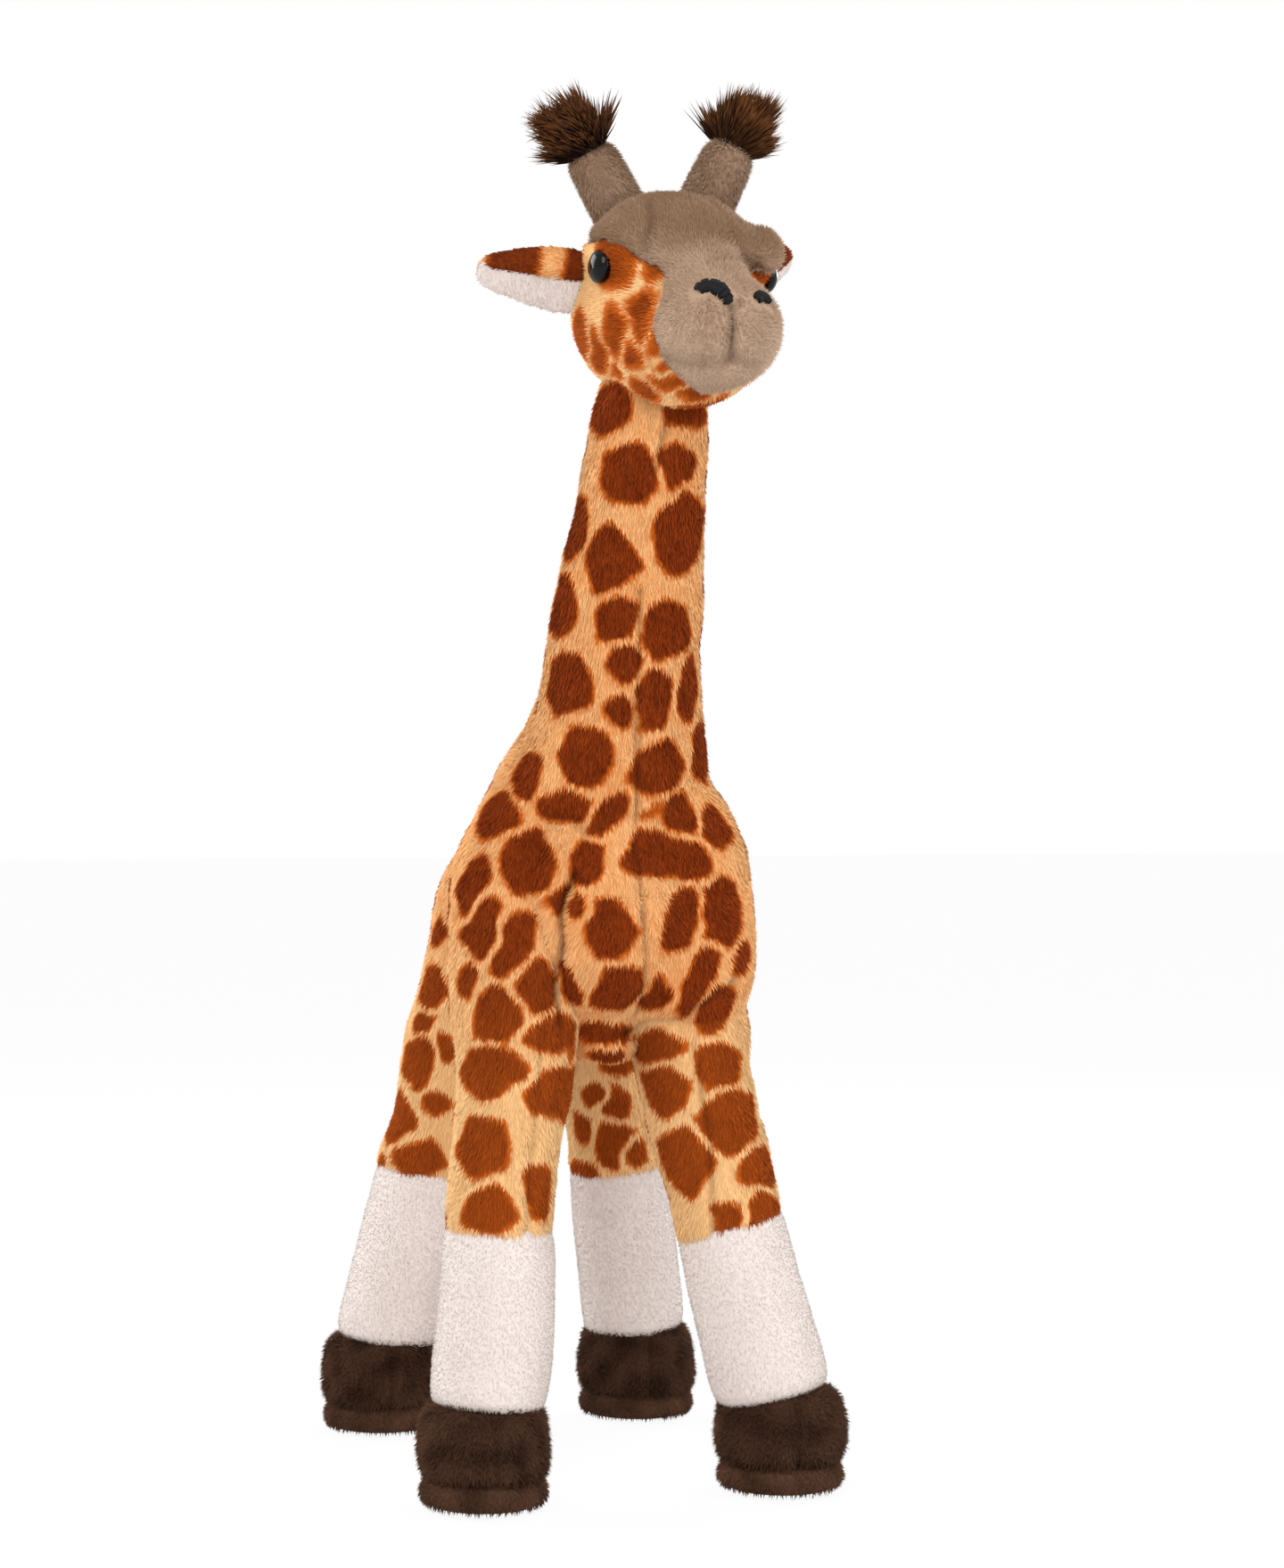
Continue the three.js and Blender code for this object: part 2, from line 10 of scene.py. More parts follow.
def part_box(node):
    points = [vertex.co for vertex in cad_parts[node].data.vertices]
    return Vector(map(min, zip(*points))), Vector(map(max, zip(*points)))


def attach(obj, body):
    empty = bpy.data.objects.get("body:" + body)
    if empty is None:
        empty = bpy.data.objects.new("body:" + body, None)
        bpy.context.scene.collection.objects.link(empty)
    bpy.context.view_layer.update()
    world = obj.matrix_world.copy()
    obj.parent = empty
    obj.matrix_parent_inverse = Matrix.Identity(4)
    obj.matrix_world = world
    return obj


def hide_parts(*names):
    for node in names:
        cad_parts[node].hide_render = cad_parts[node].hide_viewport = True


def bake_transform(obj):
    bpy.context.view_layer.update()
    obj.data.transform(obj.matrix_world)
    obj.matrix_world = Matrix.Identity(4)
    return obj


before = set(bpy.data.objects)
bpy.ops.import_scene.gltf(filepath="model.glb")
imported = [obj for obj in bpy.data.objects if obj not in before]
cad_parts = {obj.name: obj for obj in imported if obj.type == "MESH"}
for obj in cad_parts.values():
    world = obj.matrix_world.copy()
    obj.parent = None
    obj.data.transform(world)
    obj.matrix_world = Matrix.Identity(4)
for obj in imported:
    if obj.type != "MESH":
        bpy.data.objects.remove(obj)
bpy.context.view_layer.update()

# Plush giraffe. Places are in millimetres from the floor and from the middle of the four hooves; the packed
# part lies a little off that middle.
mm = 0.001
hoofPlace = {"side": 62, "back": -90}
soleLow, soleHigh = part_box("front_left_sole")
middleShift = (soleLow + soleHigh) / 2 - Vector((hoofPlace["side"], hoofPlace["back"], 0)) * mm
middleShift.z = 0
scene = bpy.context.scene


def place(x, y, z):
    return Vector((x, y, z)) * mm + middleShift


# The camera of the photograph, which also says where a printed patch or a stitch seen in it lies on the cloth
photo = {
    "width": 1440, "height": 1759, "focal": 4000, "azimuth": -17, "eye": (-410.7, -1446.1, 284), "film": 36,
    "near": 0.05, "far": 50,
}
cameraData = bpy.data.cameras.new("camera")
camera = bpy.data.objects.new("camera", cameraData)
scene.collection.objects.link(camera)
scene.camera = camera
cameraData.sensor_fit = "VERTICAL"
cameraData.sensor_height = photo["film"]
cameraData.lens = photo["film"] * photo["focal"] / photo["height"]
cameraData.clip_start = photo["near"]
cameraData.clip_end = photo["far"]
eyePoint = place(*photo["eye"])
camera.location = eyePoint
camera.rotation_euler = (math.radians(90), 0, math.radians(photo["azimuth"]))
lookTurn = camera.rotation_euler.to_matrix()
photoRight, photoUp, lookWay = (lookTurn @ Vector(way) for way in ((1, 0, 0), (0, 1, 0), (0, 0, -1)))


def photoRay(px, py):
    x, y = (px - photo["width"] / 2) / photo["focal"], (photo["height"] / 2 - py) / photo["focal"]
    return eyePoint, (lookTurn @ Vector((x, y, -1))).normalized()


# Maths on the sockets of a node tree
class Sock:
    def __init__(self, graph, link):
        self.graph = graph
        self.link = link

    def math(self, operation, a, b):
        return self.graph.node("ShaderNodeMath", {"operation": operation}, {0: a, 1: b})

    def __add__(self, other):
        return self.math("ADD", self, other)

    def __sub__(self, other):
        return self.math("SUBTRACT", self, other)

    def __rsub__(self, other):
        return self.math("SUBTRACT", other, self)

    def __mul__(self, other):
        return self.math("MULTIPLY", self, other)

    __radd__ = __add__
    __rmul__ = __mul__

    def clamp(self):
        return self.graph.node("ShaderNodeClamp", {}, {"Value": self})

    def steps(self, low, high):
        limits = {"Value": self, "From Min": low, "From Max": high}
        return self.graph.node("ShaderNodeMapRange", {"interpolation_type": "SMOOTHSTEP"}, limits)

    def output(self, key):
        return Sock(self.graph, self.link.node.outputs[key])


class Graph:
    def __init__(self, tree):
        self.nodes = tree.nodes
        self.links = tree.links

    def plug(self, socket, value):
        if isinstance(value, Sock):
            self.links.new(value.link, socket)
        else:
            socket.default_value = value

    def node(self, kind, settings={}, inputs={}, output=0):
        made = self.nodes.new(kind)
        for key, value in settings.items():
            setattr(made, key, value)
        mixing = kind == "ShaderNodeMix"
        for key, value in inputs.items():
            found = [s for s in made.inputs if s.name == key and s.enabled] if mixing else [made.inputs[key]]
            self.plug(found[0], value)
        return Sock(self, [s for s in made.outputs if s.enabled][0] if mixing else made.outputs[output])

    def vectors(self, operation, a, b):
        inputs = {0: a, "Scale" if operation == "SCALE" else 1: b}
        return self.node("ShaderNodeVectorMath", {"operation": operation}, inputs)

    def named(self, name, kind="FLOAT"):
        return self.node("GeometryNodeInputNamedAttribute", {"data_type": kind}, {"Name": name})

    def keep(self, geometry, name, value, **settings):
        inputs = {"Geometry": geometry, "Name": name, "Value": value}
        return self.node("GeometryNodeStoreNamedAttribute", settings, inputs)


class Sheet(Graph):
    def __init__(self, name):
        self.material = bpy.data.materials.new(name)
        self.material.use_nodes = True
        super().__init__(self.material.node_tree)
        self.shader = self.nodes["Principled BSDF"]

    def attribute(self, name):
        return self.node("ShaderNodeAttribute", {"attribute_name": name}, {}, "Fac")

    def noise(self, size, detail=2.0, squeeze=(1, 1, 1)):
        where = self.node("ShaderNodeTexCoord", {}, {}, "Object")
        where = self.node("ShaderNodeMapping", {}, {"Vector": where, "Scale": squeeze})
        inputs = {"Vector": where, "Scale": 1 / (size * mm), "Detail": detail}
        return self.node("ShaderNodeTexNoise", {}, inputs, "Fac")

    def mix(self, factor, a, b):
        return self.node("ShaderNodeMix", {"data_type": "RGBA"}, {"Factor": factor, "A": a, "B": b})

    def set(self, **values):
        for key, value in values.items():
            self.plug(self.shader.inputs[key.replace("_", " ")], value)
        return self.material


def shade(red, green, blue):
    return tuple(((c / 255 + 0.055) / 1.055) ** 2.4 for c in (red, green, blue)) + (1,)


plushFinish = {"Roughness": 0.92, "Specular_IOR_Level": 0.08}
printShades = {
    "ground": shade(222, 143, 78),
    "groundPale": shade(253, 204, 146),
    "cream": shade(246, 205, 146),
    "rim": shade(204, 100, 28),
    "patch": shade(174, 74, 20),
    "patchDeep": shade(92, 30, 3),
    # The crease colour is a painted shade for creases and seams
    "crease": shade(70, 33, 12),
}


def printPlush():
    sheet = Sheet("print_plush")
    names = ("spot", "tip", "tone", "pale", "crease")
    spot, tip, tone, pale, crease = (sheet.attribute(name) for name in names)
    streaks = (1, 1, 0.35)
    ground = sheet.noise(22) * 0.6 + sheet.noise(2.2, 3.0, streaks) * 0.6 + tip * 0.3 + tone * 0.4 - 0.58
    ground = sheet.mix(ground.clamp(), printShades["ground"], printShades["groundPale"])
    ground = sheet.mix(pale, ground, printShades["cream"])
    patch = sheet.noise(14) * 0.5 + sheet.noise(1.6, 2.0, streaks) * 0.5 + tip * 0.35 + tone * 0.4 - 0.56
    patch = sheet.mix(patch.clamp(), printShades["patchDeep"], printShades["patch"])
    patch = sheet.mix(pale * 0.45, patch, printShades["rim"])
    edge = spot + (sheet.noise(2.6, 3.0) - 0.5) * 0.3
    colour = sheet.mix(edge.steps(0.2, 0.46), ground, printShades["rim"])
    colour = sheet.mix(edge.steps(0.4, 0.76), colour, patch)
    # Painted shade: creases and seams darken towards the crease colour, as far as their crease value goes
    colour = sheet.mix(crease * 0.75, colour, printShades["crease"])
    return sheet.set(Base_Color=colour, **plushFinish)


def plainPlush(name, deep, pale, shadow, tipShare=0.25, tipFrom=0.0):
    sheet = Sheet(name)
    amount = sheet.noise(18) * 0.5 + sheet.noise(2.2, 3.0) * 0.3
    amount = amount + sheet.attribute("tip").steps(tipFrom, 1.0) * tipShare
    amount = amount + sheet.attribute("tone") * 0.2 - 0.3
    amount = amount + sheet.attribute("pale") * 0.9
    colour = sheet.mix(amount.clamp(), deep, pale)
    colour = sheet.mix(sheet.attribute("crease") * 0.55, colour, shadow)
    return sheet.set(Base_Color=colour, **plushFinish)


def blackThread():
    sheet = Sheet("black_thread")
    colour = sheet.mix(sheet.noise(0.8, 3.0), shade(7, 7, 8), shade(24, 23, 24))
    return sheet.set(Base_Color=colour, Roughness=0.6, Specular_IOR_Level=0.2)


def hardPlastic(name, deep, pale, roughness, coat=0.0):
    sheet = Sheet(name)
    bump = {"Height": sheet.noise(0.5), "Strength": 0.02, "Distance": 0.0001}
    colour = sheet.mix(sheet.noise(6), deep, pale)
    coating = {"Coat_Weight": coat, "Coat_Roughness": 0.02, "Normal": sheet.node("ShaderNodeBump", {}, bump)}
    return sheet.set(Base_Color=colour, Roughness=roughness, Specular_IOR_Level=0.15, **coating)


print("materials")
plushShades = {
    "taupe_plush": (shade(134, 104, 80), shade(218, 188, 162), shade(88, 63, 46)),
    "white_plush": (shade(214, 201, 194), shade(236, 226, 220), shade(150, 132, 120)),
    "hoof_plush": (shade(38, 23, 15), shade(104, 73, 55), shade(20, 12, 7), 0.5, 0.2),
    "tuft_pile": (shade(21, 10, 5), shade(120, 74, 40), shade(16, 8, 4), 0.7, 0.6),
}
materials = {
    "print_plush": printPlush(),
    **{name: plainPlush(name, *shades) for name, shades in plushShades.items()},
    "black_thread": blackThread(),
    "eye_plastic": hardPlastic("eye_plastic", shade(6, 5, 5), shade(13, 11, 10), 0.08, 0.12),
    "washer_plastic": hardPlastic("washer_plastic", shade(222, 222, 214), shade(236, 236, 230), 0.45),
}


# Forms. A row is one ring: its middle and its two half widths.
def ringPlace(rows, i, inset, wideWay):
    x, y, z, wide, deep = rows[i]
    along = Vector(rows[min(i + 1, len(rows) - 1)][:3]) - Vector(rows[max(i - 1, 0)][:3])
    along.normalize()
    across = (wideWay - along * along.dot(wideWay)).normalized()
    turn = Matrix((across, along.cross(across), along)).transposed().to_4x4()
    size = Matrix.Diagonal((max(wide - inset, 0.2) * mm, max(deep - inset, 0.2) * mm, mm, 1))
    return Matrix.Translation(place(x, y, z)) @ turn @ size


def drawOut(form, rows, inset=0.0, sides=24, wideWay=Vector((1, 0, 0))):
    ring = bmesh.ops.create_circle(form, cap_ends=False, segments=sides, radius=1)["verts"]
    now = ringPlace(rows, 0, inset, wideWay)
    bmesh.ops.transform(form, matrix=now, verts=ring)
    first = edges = list({e for v in ring for e in v.link_edges})
    for i in range(1, len(rows)):
        grown = bmesh.ops.extrude_edge_only(form, edges=edges)["geom"]
        ring = [g for g in grown if isinstance(g, bmesh.types.BMVert)]
        inRing = set(ring)
        edges = [g for g in grown if isinstance(g, bmesh.types.BMEdge) and inRing.issuperset(g.verts)]
        after = ringPlace(rows, i, inset, wideWay)
        bmesh.ops.transform(form, matrix=after @ now.inverted(), verts=ring)
        now = after
    bmesh.ops.holes_fill(form, edges=first + edges, sides=0)


def addBall(form, segments, rings, radius, matrix):
    ball = bmesh.ops.create_uvsphere(form, u_segments=segments, v_segments=rings, radius=radius)["verts"]
    bmesh.ops.transform(form, matrix=matrix, verts=ball)


def towards(way):
    return way.to_track_quat("Z", "Y").to_matrix().to_4x4()


def cutPlane(form, at, way, **clear):
    geometry = form.verts[:] + form.edges[:] + form.faces[:]
    bmesh.ops.bisect_plane(form, geom=geometry, plane_co=at, plane_no=way, **clear)


def objectOf(form, name):
    bmesh.ops.recalc_face_normals(form, faces=form.faces)
    mesh = bpy.data.meshes.new(name)
    form.to_mesh(mesh)
    form.free()
    mesh.shade_smooth()
    obj = bpy.data.objects.new(name, mesh)
    scene.collection.objects.link(obj)
    return obj


def settled(obj):
    graph = bpy.context.evaluated_depsgraph_get()
    mesh = bpy.data.meshes.new_from_object(obj.evaluated_get(graph))
    obj.modifiers.clear()
    old = obj.data
    obj.data = mesh
    bpy.data.meshes.remove(old)
    return obj


def rounded(form, name, voxel=1.8, smooth=4, level=2, coarse=None):
    obj = objectOf(form, name)
    if level:
        rounder = obj.modifiers.new("rounder", "SUBSURF")
        rounder.levels = rounder.render_levels = level
    for size, times in ((coarse, 10), (voxel, smooth)):
        if size:
            remesh = obj.modifiers.new("remesh", "REMESH")
            remesh.mode = "VOXEL"
            remesh.voxel_size = size * mm
            remesh.use_smooth_shade = True
            soften = obj.modifiers.new("soften", "SMOOTH")
            soften.factor = 0.5
            soften.iterations = times
    return settled(obj)


# A skin of one or more forms, each given as drawOut takes it
def drawnSkin(name, *forms, **rounding):
    form = bmesh.new()
    for drawn in forms:
        drawOut(form, *drawn)
    return rounded(form, name, **rounding)


def vectorsOf(items, key):
    values = np.empty(len(items) * 3, np.float32)
    items.foreach_get(key, values)
    return values.reshape(-1, 3).astype(float)


def pointsOf(obj):
    return vectorsOf(obj.data.vertices, "co")


def normalsOf(obj):
    return vectorsOf(obj.data.vertex_normals, "vector")


def lengths(vectors):
    return np.linalg.norm(vectors, axis=1)


def setPoints(obj, points):
    obj.data.vertices.foreach_set("co", points.astype(np.float32).ravel())
    obj.data.update()


def pushOut(obj, distance):
    setPoints(obj, pointsOf(obj) + normalsOf(obj) * distance[:, None])


def give(obj, name, values):
    if np.ndim(values) < 2:
        values = np.zeros(len(obj.data.vertices)) + values
    kind, key = ("FLOAT_VECTOR", "vector") if values.ndim == 2 else ("FLOAT", "value")
    made = obj.data.attributes.get(name) or obj.data.attributes.new(name, kind, "POINT")
    made.data.foreach_set(key, values.astype(np.float32).ravel())


def creaseOf(obj):
    found = np.zeros(len(obj.data.vertices), np.float32)
    if "crease" in obj.data.attributes:
        obj.data.attributes["crease"].data.foreach_get("value", found)
    return found


def treeOf(*skins):
    corners, faces = [], []
    for skin in skins:
        shift = len(corners)
        corners += [v.co.copy() for v in skin.data.vertices]
        faces += [tuple(i + shift for i in f.vertices) for f in skin.data.polygons]
    return BVHTree.FromPolygons(corners, faces)


def smoothStep(values, low, high):
    t = np.clip((values - low) / (high - low), 0, 1)
    return t * t * (3 - 2 * t)


def hump(far, width):
    return np.exp(-((far / width) ** 2))


# A smooth wandering number for each point, about one in size, with lumps of the given width in millimetres
def lumps(points, size, seed):
    draw = np.random.default_rng(seed)
    total = np.zeros(len(points))
    for _ in range(8):
        way = draw.normal(size=3)
        way *= 2 * math.pi / (size * mm) / np.linalg.norm(way)
        total += np.sin(points @ way + draw.uniform(0, 2 * math.pi))
    return total / 3


def clippedLumps(points, size, seed):
    return np.clip(lumps(points, size, seed), -1, 1)


def warpOf(points, *layers):
    ways = [sum(lumps(points, size, seed + i) * height for size, seed, height in layers) for i in range(3)]
    return np.stack(ways, axis=1) * mm


def nearPath(points, path):
    best = np.full(len(points), 9.0)
    for a, b in zip(path[:-1], path[1:]):
        a, b = np.array(a), np.array(b)
        way = b - a
        share = np.clip((points - a) @ way / max(way @ way, 1e-12), 0, 1)
        best = np.minimum(best, lengths(points - (a + share[:, None] * way)))
    return best


def onCloth(tree, pixels):
    hits = [tree.ray_cast(*photoRay(*pixel))[0] for pixel in pixels]
    return [h for h in hits if h is not None]


# Presses a seam or fold into the cloth and gives it a crease value, which shortens the pile there and paints
# shade into the colour
def pressSeam(obj, path, width, depth, shadeMark):
    if len(path) < 2:
        print("a seam misses", obj.name)
        return
    far = nearPath(pointsOf(obj), path) / mm
    pushOut(obj, -depth * mm * hump(far, width))
    give(obj, "crease", np.maximum(creaseOf(obj), shadeMark * hump(far, width * 0.7)))


def pressSeen(obj, tree, pixels, *seam):
    pressSeam(obj, onCloth(tree, pixels), *seam)


stuffingLumps = ((42, 1), (17, 0.35), (8, 0.14))


def stuffed(obj, seed, height):
    points = pointsOf(obj)
    layers = enumerate(stuffingLumps)
    bulge = sum(lumps(points, size, seed + i) * height * share for i, (size, share) in layers)
    pushOut(obj, bulge * mm)


def depthIn(points, tree):
    deep = np.empty(len(points))
    for i, p in enumerate(points):
        near, normal, _, _ = tree.find_nearest(Vector(p))
        deep[i] = -(Vector(p) - near).dot(normal)
    return deep


# Pile: slim spikes that a node tree sets on the cloth, combed, clumped and cut short
def strandShape(name, segments, belly):
    form = bmesh.new()
    bmesh.ops.create_cone(form, cap_ends=True, cap_tris=False, segments=3, radius1=1, radius2=0, depth=1)
    bmesh.ops.translate(form, vec=(0, 0, 0.5), verts=form.verts)
    bmesh.ops.remove_doubles(form, verts=form.verts, dist=0.001)
    for i in range(1, segments):
        cutPlane(form, (0, 0, i / segments), (0, 0, 1))
    for vert in form.verts:
        if vert.co.z < 0.99:
            fullness = 1 + belly * vert.co.z
            vert.co.x *= fullness
            vert.co.y *= fullness
    obj = objectOf(form, name)
    points = pointsOf(obj)
    give(obj, "tip", points[:, 2])
    give(obj, "local", points)
    obj.hide_render = True
    return obj


strands = {"short": strandShape("short_strand", 1, 0), "long": strandShape("long_strand", 4, 1.1)}
# Calm is how far the strands' shading follows the cloth's. Sizes are in millimetres.
pileKeys = (
    "strand", "perSquareMm", "length", "radius", "rise", "lean", "clump", "clumpSize", "stray", "straySize",
    "fuzz", "calm",
)
piles = {
    "print": ("short", 1.05, 3.0, 0.38, 0.42, 1.0, 0.1, 2.0, 0.45, 16, 0.16, 0.7),
    "taupe": ("short", 1.8, 2.2, 0.26, 0.7, 0.65, 0.06, 1.8, 0.3, 14, 0.2, 0.85),
    "sock": ("short", 1.1, 0.9, 0.2, 0.9, 0.5, 0.0, 1.8, 0.1, 16, 0.3, 0.92),
    "hoof": ("short", 1.3, 3.4, 0.33, 0.75, 0.55, 0.3, 2.6, 0.9, 9, 0.24, 0.6),
    "tuft": ("long", 3.0, 13.2, 0.46, 0.38, 0.85, 0.7, 4, 1.1, 8, 0.16, 0.4),
    "mane": ("long", 1.7, 10, 0.36, 0.9, 0.3, 0.6, 3.4, 0.8, 9, 0.22, 0.4),
}
pileRange = {
    "quickShare": 0.4, "shortest": 0.7, "uneven": 0.5, "creased": 0.6, "skew": (0.37, 0.17), "spread": 0.0004,
}


def growPile(skin, pileName, seed):
    pile = dict(zip(pileKeys, piles[pileName]))
    group = bpy.data.node_groups.new("pile", "GeometryNodeTree")
    for way in ("INPUT", "OUTPUT"):
        group.interface.new_socket(name="Geometry", in_out=way, socket_type="NodeSocketGeometry")
    tree = Graph(group)
    cloth = tree.node("NodeGroupInput")
    share = 1
    density = tree.named("thick") * (pile["perSquareMm"] * share / mm / mm) * tree.named("shown")
    inputs = {"Mesh": cloth, "Density": density, "Seed": seed}
    scatter = tree.node("GeometryNodeDistributePointsOnFaces", {}, inputs, "Points")
    here = tree.node("GeometryNodeInputPosition")
    inputs = {"Vector": here, "Scale": 1 / (pile["clumpSize"] * mm)}
    cell = tree.node("ShaderNodeTexVoronoi", {}, inputs, "Position")
    clump = tree.vectors("SCALE", tree.vectors("SUBTRACT", cell, here), pile["clump"] / (pile["length"] * mm))
    inputs = {"Vector": here, "Scale": 1 / (pile["straySize"] * mm)}
    stray = tree.node("ShaderNodeTexNoise", {}, inputs, "Color")
    stray = tree.vectors("SCALE", tree.vectors("SUBTRACT", stray, (0.5, 0.5, 0.5)), pile["stray"])
    inputs = {0: (-1, -1, -1), 1: (1, 1, 1), "Seed": seed + 1}
    fuzz = tree.node("FunctionNodeRandomValue", {"data_type": "FLOAT_VECTOR"}, inputs)
    fuzz = tree.vectors("SCALE", fuzz, pile["fuzz"])
    way = tree.vectors("SCALE", scatter.output("Normal"), pile["rise"])
    for part in (tree.vectors("SCALE", tree.named("comb", "FLOAT_VECTOR"), pile["lean"]), clump, stray, fuzz):
        way = tree.vectors("ADD", way, part)
    turn = tree.node("FunctionNodeAlignRotationToVector", {"axis": "Z"}, {"Vector": way})
    inputs = {2: 0.0, 3: 1.0, "Seed": seed + 2}
    tone = tree.node("FunctionNodeRandomValue", {"data_type": "FLOAT"}, inputs, 1)
    length = (tone * pileRange["uneven"] + pileRange["shortest"]) * (pile["length"] * mm) * tree.named("tall")
    radius = pile["radius"] * mm
    size = tree.node("ShaderNodeCombineXYZ", {}, {"X": radius, "Y": radius, "Z": length})
    toned = tree.keep(scatter, "tone", tone, data_type="FLOAT")
    shape = tree.node("GeometryNodeObjectInfo", {}, {"Object": strands[pile["strand"]]}, "Geometry")
    inputs = {"Points": toned, "Instance": shape, "Rotation": turn, "Scale": size}
    stand = tree.node("GeometryNodeInstanceOnPoints", {}, inputs)
    real = tree.node("GeometryNodeRealizeInstances", {}, {"Geometry": stand})
    local = tree.node("ShaderNodeSeparateXYZ", {}, {0: tree.named("local", "FLOAT_VECTOR")})
    x, y = (local.output(i) + local.output(2) * skew for i, skew in enumerate(pileRange["skew"]))
    nudge = tree.node("ShaderNodeCombineXYZ", {}, {"X": x, "Y": y})
    nudge = tree.vectors("SCALE", nudge, pileRange["spread"])
    spread = tree.vectors("ADD", tree.named("root", "FLOAT_VECTOR"), nudge)
    mapped = tree.keep(real, "OFBake", spread, data_type="FLOAT2", domain="CORNER")
    both = tree.node("GeometryNodeJoinGeometry", {}, {0: mapped})
    tree.plug(both.link.node.inputs[0], cloth)
    lying = tree.vectors("SCALE", tree.named("lay", "FLOAT_VECTOR"), pile["calm"])
    rest = tree.vectors("SCALE", tree.node("GeometryNodeInputNormal"), 1 - pile["calm"])
    inputs = {"Mesh": both, "Custom Normal": tree.vectors("ADD", lying, rest)}
    soft = tree.node("GeometryNodeSetMeshNormal", {"mode": "FREE", "domain": "POINT"}, inputs)
    tree.plug(group.nodes.new("NodeGroupOutput").inputs[0], soft)
    grow = skin.modifiers.new("pile", "NODES")
    grow.node_group = group
    settled(skin)
    bpy.data.node_groups.remove(group)


def unwrap(obj):
    obj.data.uv_layers.new(name="OFBake")
    for other in bpy.context.selected_objects:
        other.select_set(False)
    bpy.context.view_layer.objects.active = obj
    obj.select_set(True)
    bpy.ops.object.mode_set(mode="EDIT")
    bpy.ops.mesh.select_all(action="SELECT")
    bpy.ops.uv.smart_project(angle_limit=math.radians(66), island_margin=0.004)
    bpy.ops.object.mode_set(mode="OBJECT")
    obj.select_set(False)
    values = np.empty(len(obj.data.loops) * 2, np.float32)
    obj.data.uv_layers["OFBake"].data.foreach_get("uv", values)
    wide = np.zeros((len(obj.data.loops), 3), np.float32)
    wide[:, :2] = values.reshape(-1, 2)
    root = obj.data.attributes.new("root", "FLOAT_VECTOR", "CORNER")
    root.data.foreach_set("vector", wide.ravel())


# In metres: cloth deeper than this inside another skin grows no pile, and a skin closer than this in front of
# a point doesn't hide it from the photograph
hidden = 0.006
clothTone = {"tip": 0.45, "tone": 0.5}
triangleCounts = {}


# Each finished skin: pile on what shows, its finish, and the parts that it hides
def dress(
    obj, finish, pileName, flow, nodes, seed,
    body=None, bend=None, hiders=(), thin=1, tall=1, spots=0, pale=0,
):
    points, normals = pointsOf(obj), normalsOf(obj)
    none = np.zeros(len(points))
    thick = none + thin
    for hider in hiders:
        thick = thick * (depthIn(points, hider) < hidden)
    crease = creaseOf(obj)
    tall = (none + tall) * (1 - pileRange["creased"] * crease)
    flow = flow(points) if callable(flow) else none[:, None] + flow
    flow = flow - normals * np.sum(flow * normals, axis=1)[:, None]
    flow /= np.maximum(lengths(flow), 0.05)[:, None]
    marks = {"thick": thick, "crease": crease, "tall": tall, "pale": pale, "spot": spots}
    for name, values in {**marks, **clothTone, "lay": normals, "comb": flow}.items():
        give(obj, name, values)
    if "shown" not in obj.data.attributes:
        shown = obj.data.attributes.new("shown", "FLOAT", "FACE")
        shown.data.foreach_set("value", np.ones(len(obj.data.polygons), np.float32))
    unwrap(obj)
    growPile(obj, pileName, seed)
    obj.data.materials.clear()
    obj.data.materials.append(materials[finish])
    if bend:
        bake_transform(obj)
    else:
        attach(obj, body)
    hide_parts(*nodes)
    triangleCounts[obj.name] = len(obj.data.loops) - 2 * len(obj.data.polygons)


# Torso: side, back, height, half width and half height of each ring
torso = {
    "rings": [
        (-12, -122, 233, 12, 14), (-12, -118, 233, 24, 28), (-12, -108, 233, 36, 43), (-12, -92, 235, 43, 52),
        (-10, -70, 238, 46, 54), (-7, -40, 238, 46, 52), (-3, 0, 236, 45, 48), (1, 40, 232, 44, 46),
        (5, 75, 229, 44, 47), (7, 95, 226, 41, 43), (8, 108, 224, 32, 34), (8, 115, 223, 16, 18),
    ],
    "inset": 2.8,
}
# Neck: side, back, height and half widths of each ring
neck = {
    "rings": [
        (-8, -62, 228, 30, 28), (-8, -62, 234, 41, 37), (-9, -64, 248, 49, 45), (-9.5, -68, 262, 50, 46),
        (-9.2, -75, 277, 47, 45), (-7.8, -80, 291, 41.7, 42), (-5.5, -86, 305, 37.3, 38),
        (-5, -92, 326, 33.8, 34), (-4.4, -97, 347, 32.3, 32), (-3.5, -103, 374.5, 28.9, 29),
        (-2.5, -108, 395, 27.9, 28), (-1, -112, 416, 26.8, 27), (0, -115, 429, 26, 26),
        (1, -117, 442, 24, 24), (2, -119, 450, 16, 16),
    ],
}
# The chest swells over the top of the left leg
chest = {
    "rings": [
        (14, -84, 286, 12, 16), (16, -84, 278, 24, 27), (18, -84, 262, 31.5, 33), (20, -83, 240, 33.5, 35.5),
        (21.5, -83, 220, 33, 35), (22.5, -83, 202, 31.5, 33.5), (22.5, -83, 191, 26.5, 28.5),
        (22, -83, 186, 16, 18),
    ],
    "neckSeam": {"at": (-9, -66, 254), "way": (0, -0.25, 0.97)},
}
# The cloth sags between the front legs
girth = {
    "rings": [
        (-10, -78, 215, 14, 14), (-10, -78, 200, 18, 18), (-9.5, -78, 188, 19, 18.5),
        (-9.5, -78, 178, 18, 17), (-9.5, -78, 171, 13, 12.5),
    ],
}
bodyForms = [(part["rings"], torso["inset"]) for part in (neck, chest, girth)]
bodySkin = drawnSkin("body_skin", (torso["rings"], torso["inset"], 28), *bodyForms, smooth=3, coarse=3.2)
stuffed(bodySkin, 11, 0.9)


